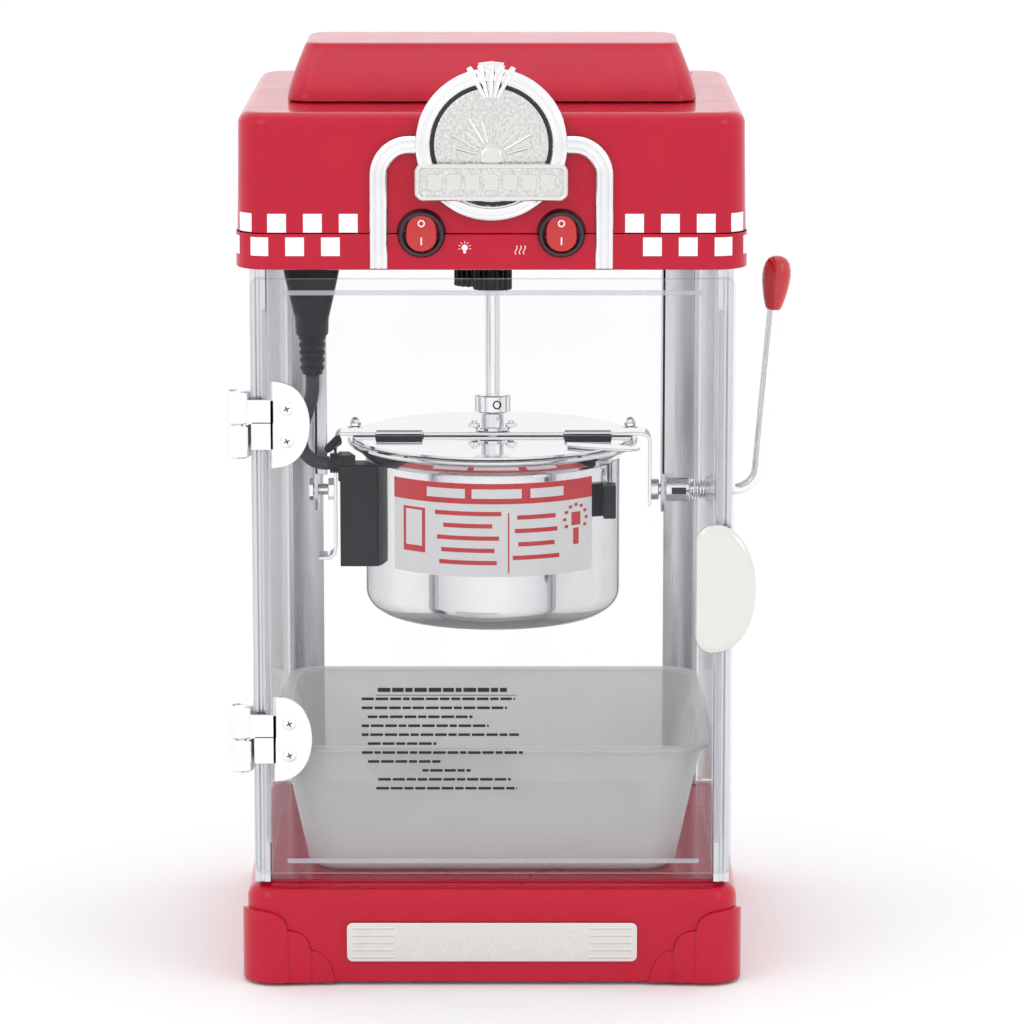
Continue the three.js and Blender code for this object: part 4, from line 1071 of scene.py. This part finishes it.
def add_yoke():
    low, high = span("kettle_yoke")
    half, sheet, bend, y = 82, 1.7, 5, (low.y + high.y) / 2
    top = span("lid_rear")[1].z + 2.0
    path = [(half, 221.0), (half, top - bend)]
    for k in range(1, 7):
        a = math.pi / 2 * k / 6
        path.append((half - bend + bend * math.cos(a), top - bend + bend * math.sin(a)))
    for k in range(7):
        a = math.pi / 2 * (1 + k / 6)
        path.append((-half + bend + bend * math.cos(a), top - bend + bend * math.sin(a)))
    path += [(-half, 200.0), (-half - 0.6, 196.5), (-half - 2.4, 194.9), (-half - 8, 194.6)]
    bm = bmesh.new()
    plate(bm, bent_strip(path, sheet), -8, 8, at(0, y, 0) @ FRONT)
    piece("yoke_strap", bm, "kettle", polished, ["kettle_yoke"], bevel=0.3)

    along = Matrix.Rotation(math.pi / 2, 4, "Y")
    right = at(0, y, PIVOT_Z) @ along
    left = right @ Matrix.Rotation(math.pi, 4, "X")
    bm = bmesh.new()
    lathe(bm, [(0, half - 1), (3, half - 1), (3, 95.4), (2.4, 96), (0, 96)], right, 32)
    lathe(bm, [(0, half - 1), (3, half - 1), (3, 94.6), (2.4, 95.2), (0, 95.2)], left, 32)
    lathe(bm, [(0, half - 0.2), (5.8, half - 0.2), (5.8, half + 3.6), (5.2, half + 4), (0, half + 4)],
          right, 40)
    hexagon(bm, 5.8, half - 0.2, half + 3.2, left)
    hexagon(bm, 5.8, 92.6, 95.0, left)
    strap_top = top + sheet
    for x in (-71, 71):
        acorn(bm, x, y, strap_top - 0.2, 2.9)
    for x in (-9.5, 9.5):
        hexagon(bm, 3.1, strap_top, strap_top + 2.4, at(x, y - 1, 0))
        lathe(bm, [(0, strap_top), (1.6, strap_top), (1.6, strap_top + 3.6), (0, strap_top + 4)],
              at(x, y - 1, 0), 16)
    piece("yoke_pins_and_nuts", bm, "kettle", chrome)

    bm = bmesh.new()
    block(bm, 56.5, 63, y - 42, y - 30.5, 221, 238, 0.5, 1)
    capsule(bm, (-84.5, 4, 252), (-80, 4.5, 256.5), 2.2, 10)
    capsule(bm, (-86, 7, 250.5), (-79.5, 8, 254.5), 1.8, 10)
    piece("kettle_terminals", bm, "kettle", black)


# ------------------------------------------------------------------ hangers and lever
def add_hangers():
    for side in ("left", "right"):
        low, high = span(f"hanger_{side}")
        y0, y1, sheet, foot = low.y, high.y, 1.9, 1.8
        bm = bmesh.new()
        middle, half = (y0 + y1) / 2, (y1 - y0) / 2
        shape = [(y0, high.z), (y0, low.z + half)]
        shape += [(middle + half * math.cos(a), low.z + half + half * math.sin(a))
                  for a in (math.pi * (1 + k / 12) for k in range(1, 12))]
        shape += [(y1, low.z + half), (y1, high.z)]
        plate(bm, shape, low.x, low.x + sheet, SIDE)
        flange = low.x + (6.7 if side == "left" else 7)
        block(bm, low.x, flange, y0, y0 + 1.7, 238, high.z, 0.4, 0.5)
        block(bm, low.x, high.x, y0, y1, high.z - foot, high.z, 0.3, 0.5)
        piece(f"hanger_{side}_angle", bm, "cabinet", brushed, [f"hanger_{side}"],
              bevel=0.25)


def add_lever():
    left, right = span("lever_rod")[0].x, 102
    y, rod, lean = 14, 3.1, math.radians(5)
    bend_x, radius, knob_top = 137.2, 12, span("lever_knob")[1].z
    points = [(99, 0), (106, 0), (113, 0), (120, 0)]
    for k in range(11):
        a = (math.pi / 2 - lean) * k / 10
        points.append((bend_x - radius + radius * math.sin(a), radius * (1 - math.cos(a))))
    last = points[-1]

    def leaning(height):
        return last[0] + (height - last[1]) * math.tan(lean)

    top = knob_top - 10 - PIVOT_Z
    points += [(leaning(h), h) for h in (last[1] + 8, (top + last[1]) / 2, top)]
    bm = bmesh.new()
    tube(bm, [(x, y, PIVOT_Z + z) for x, z in points], rod, 24)
    along = at(0, y, PIVOT_Z) @ Matrix.Rotation(math.pi / 2, 4, "Y")
    pipe(bm, [(3.6, left + 0.4), (4.2, left), (5.7, left), (6.25, left + 0.6), (6.25, right - 0.6),
              (5.7, right), (2.9, right), (2.9, 98), (3.6, 98)], along, 48)
    piece("lever_rod_and_coupler", bm, "lever", chrome, ["lever_rod"])
    # painted shade: a dark block stands in for the shadow in the coupler's slot
    bm = bmesh.new()
    block(bm, 92.4, 100.2, y - 6.35, y - 4.5, PIVOT_Z - 1.8, PIVOT_Z + 1.8, 0.3, 0.5)
    piece("coupler_slot_painted_shade", bm, "lever", painted_shade_dark)

    foot, length = span("lever_knob")[0].z - PIVOT_Z, 28.6
    knob_at = at(leaning(foot), y, PIVOT_Z + foot) @ Matrix.Rotation(lean, 4, "Y")
    bm = bmesh.new()
    lathe(bm, [(0, 0.3), (3.3, 0.3), (3.9, 0.8), (4.6, 2.4), (5.6, 6), (6.5, 10), (7.2, 14.5),
               (7.4, 18), (7.1, 21.5), (6.2, 24.6), (4.8, 26.6), (3.0, 27.7), (1.4, 28.1), (0, 28.2)],
          knob_at, 48)
    piece("lever_knob_egg", bm, "lever", red_knob, ["lever_knob"])

    low, high = span("lever_spring")
    wire, turns, coil = 0.6, 5, []
    for k in range(turns * 20 + 1):
        a = math.tau * k / 20
        coil.append((low.x + wire + (high.x - low.x - 2 * wire) * k / (turns * 20),
                     y + 4.7 * math.sin(a), PIVOT_Z + 4.7 * math.cos(a)))
    bm = bmesh.new()
    tube(bm, coil, wire, 8)
    spring = piece("lever_coil", bm, "cabinet", chrome, ["lever_spring"])
    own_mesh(spring)


# ------------------------------------------------------------------ stirrer and drive
def gear_outline(teeth, phase, tip=1.0, root=1.25):
    points = []
    for tooth in range(teeth):
        for reach, turn in ((-root, -0.33), (-0.2, -0.24), (tip * 0.8, -0.15), (tip, -0.1),
                            (tip, 0.1), (tip * 0.8, 0.15), (-0.2, 0.24), (-root, 0.33)):
            a = phase + (tooth + turn) * math.tau / teeth
            points.append(((teeth / 2 + reach) * math.cos(a), (teeth / 2 + reach) * math.sin(a)))
    return points


def add_stirrer():
    low, high = span("stir_shaft")
    y, radius = (low.y + high.y) / 2, 3.75
    centre = at(0, y, 0)
    bm = bmesh.new()
    lathe(bm, [(0, low.z), (radius - 0.4, low.z), (radius, low.z + 0.5), (radius, 269.9), (8.9, 270),
               (9.5, 270.6), (9.5, 278.4), (8.9, 279), (radius, 279.1), (radius, high.z - 0.5),
               (radius - 0.5, high.z), (0, high.z)], centre, 64)
    piece("stir_shaft_and_collar", bm, "stirrer", chrome, ["stir_shaft"])
    bm = bmesh.new()
    lathe(bm, [(0, 8.6), (2.3, 8.6), (2.3, 9.7), (1.9, 9.8), (1.1, 9.0), (0, 9.0)],
          at(0, y, 274.5) @ Matrix.Rotation(math.radians(14), 4, "Z") @ FRONT, 24)
    piece("collar_set_screw", bm, "stirrer", black)

    low, high = span("stir_gear")
    motor_x, motor_y = -10, 29.2
    phase = math.atan2(motor_y - y, motor_x)
    face = high.z - 3.1
    bm = bmesh.new()
    plate(bm, gear_outline(18, phase), low.z, face, centre)
    piece("stir_gear_wheel", bm, "stirrer", black, ["stir_gear"], bevel=0.15)
    bm = bmesh.new()
    pipe(bm, [(4.1, face - 0.2), (6.0, face - 0.2), (6.2, face + 0.3), (6.2, high.z - 0.4),
              (5.8, high.z), (4.1, high.z)], centre, 48)
    piece("stir_gear_hub", bm, "stirrer", brass)

    low, high = span("motor_gear")
    bm = bmesh.new()
    plate(bm, gear_outline(18, phase + math.pi + math.pi / 18), low.z, face,
          at(motor_x, motor_y, 0))
    piece("motor_gear_wheel", bm, "motor_gear", black, ["motor_gear"], bevel=0.15)
    bm = bmesh.new()
    lathe(bm, [(0, face - 0.2), (4.7, face - 0.2), (5, face + 0.2), (5, 356.6), (4.6, 357), (3, 357),
               (3, high.z), (0, high.z)], at(motor_x, motor_y, 0), 40)
    piece("motor_shaft", bm, "motor_gear", satin)


# ------------------------------------------------------------------ lamp, plug, tray
def add_lamp_and_plug():
    low, high = span("lamp_bulb")
    x, y, radius = (low.x + high.x) / 2, (low.y + high.y) / 2, (high.x - low.x) / 2
    globe = [(radius * math.sin(a), low.z + radius * (1 - math.cos(a)))
             for a in (math.radians(150) * k / 16 for k in range(17))]
    bm = bmesh.new()
    lathe(bm, [*globe, (4.6, high.z - 1.0), (4.6, high.z), (0, high.z)], at(x, y, 0), 48)
    piece("lamp_globe", bm, "cabinet", bulb_glass, ["lamp_bulb"])

    low, high = span("heater_plug")
    x, y = (low.x + high.x) / 2, (low.y + high.y) / 2
    bm = bmesh.new()
    rings = [rounded(w, d, c, z, x, y, 8) for w, d, c, z in (
        (27, 17, 2.5, high.z), (28, 18, 3, high.z - 0.6), (28, 18, 3, 347), (27.2, 18, 4, 344),
        (18.8, 17, 6, 325), (17.4, 16.4, 7, 322.4), (17.2, 16.2, 8, 321), (16.6, 16.6, 8.2, 314),
        (15.4, 15.4, 7.6, 313))]
    loft(bm, rings)
    lathe(bm, [(0, low.z), (5.0, low.z), (5.3, low.z + 0.5), (6.4, 313.6), (0, 313.6)],
          at(x, y, 0), 40)
    for k in range(5):
        z = low.z + 2.2 + k * 3.9
        pipe(bm, [(4.6, z), (5.9 + k * 0.2, z), (6.2 + k * 0.2, z + 0.4), (6.2 + k * 0.2, z + 1.8),
                  (5.9 + k * 0.2, z + 2.2), (4.6, z + 2.2)], at(x, y, 0), 40)
    piece("heater_plug_moulding", bm, "cabinet", black, ["heater_plug"])


def add_tray():
    low, high = span("tray")
    width, depth, corner, wall = high.x - low.x, high.y - low.y, 17, 1.6
    x, y, taper = (low.x + high.x) / 2, (low.y + high.y) / 2, 0.89
    mouth_w, mouth_d = width - 8, depth - 8
    floor_w, floor_d = mouth_w * taper, mouth_d * taper
    edge, steps = 7, 6

    def floor_ring(share, inward):
        """A level of the floor's rounded edge: share 0 is its flat, and 1 the side wall."""
        a = math.pi / 2 * share
        inset, z = inward + edge * (1 - math.sin(a)), low.z + inward + edge * (1 - math.cos(a))
        return rounded(floor_w - 2 * inset, floor_d - 2 * inset, corner - inset * 0.6, z, x, y)

    rings = [floor_ring(k / steps, 0) for k in range(steps + 1)]
    rings += [rounded(w, d, corner, z, x, y) for w, d, z in (
        (mouth_w, mouth_d, high.z - 3.2), (mouth_w + 1, mouth_d + 1, high.z - 2.6),
        (width - 0.6, depth - 0.6, high.z - 2.4), (width, depth, high.z - 1.8),
        (width, depth, high.z - 0.6), (width - 1.2, depth - 1.2, high.z),
        (mouth_w - 1, mouth_d - 1, high.z), (mouth_w - 2 * wall, mouth_d - 2 * wall, high.z - 1.2))]
    rings += [floor_ring(1 - k / steps, wall) for k in range(steps + 1)]
    bm = bmesh.new()
    loft(bm, rings)
    piece("popcorn_tray", bm, "tray", tray_plastic, ["tray"])


add_switches()
add_door()
add_handle()
add_hinges()
add_kettle()
add_lids()
add_yoke()
add_hangers()
add_lever()
add_stirrer()
add_lamp_and_plug()
add_tray()
dress("socket_cover", black, 2.6)
dress("stir_bush", chrome, 0.3)
dress("stir_paddle", satin, 0.3)
dress("lever_ferrule", chrome, 0.3)
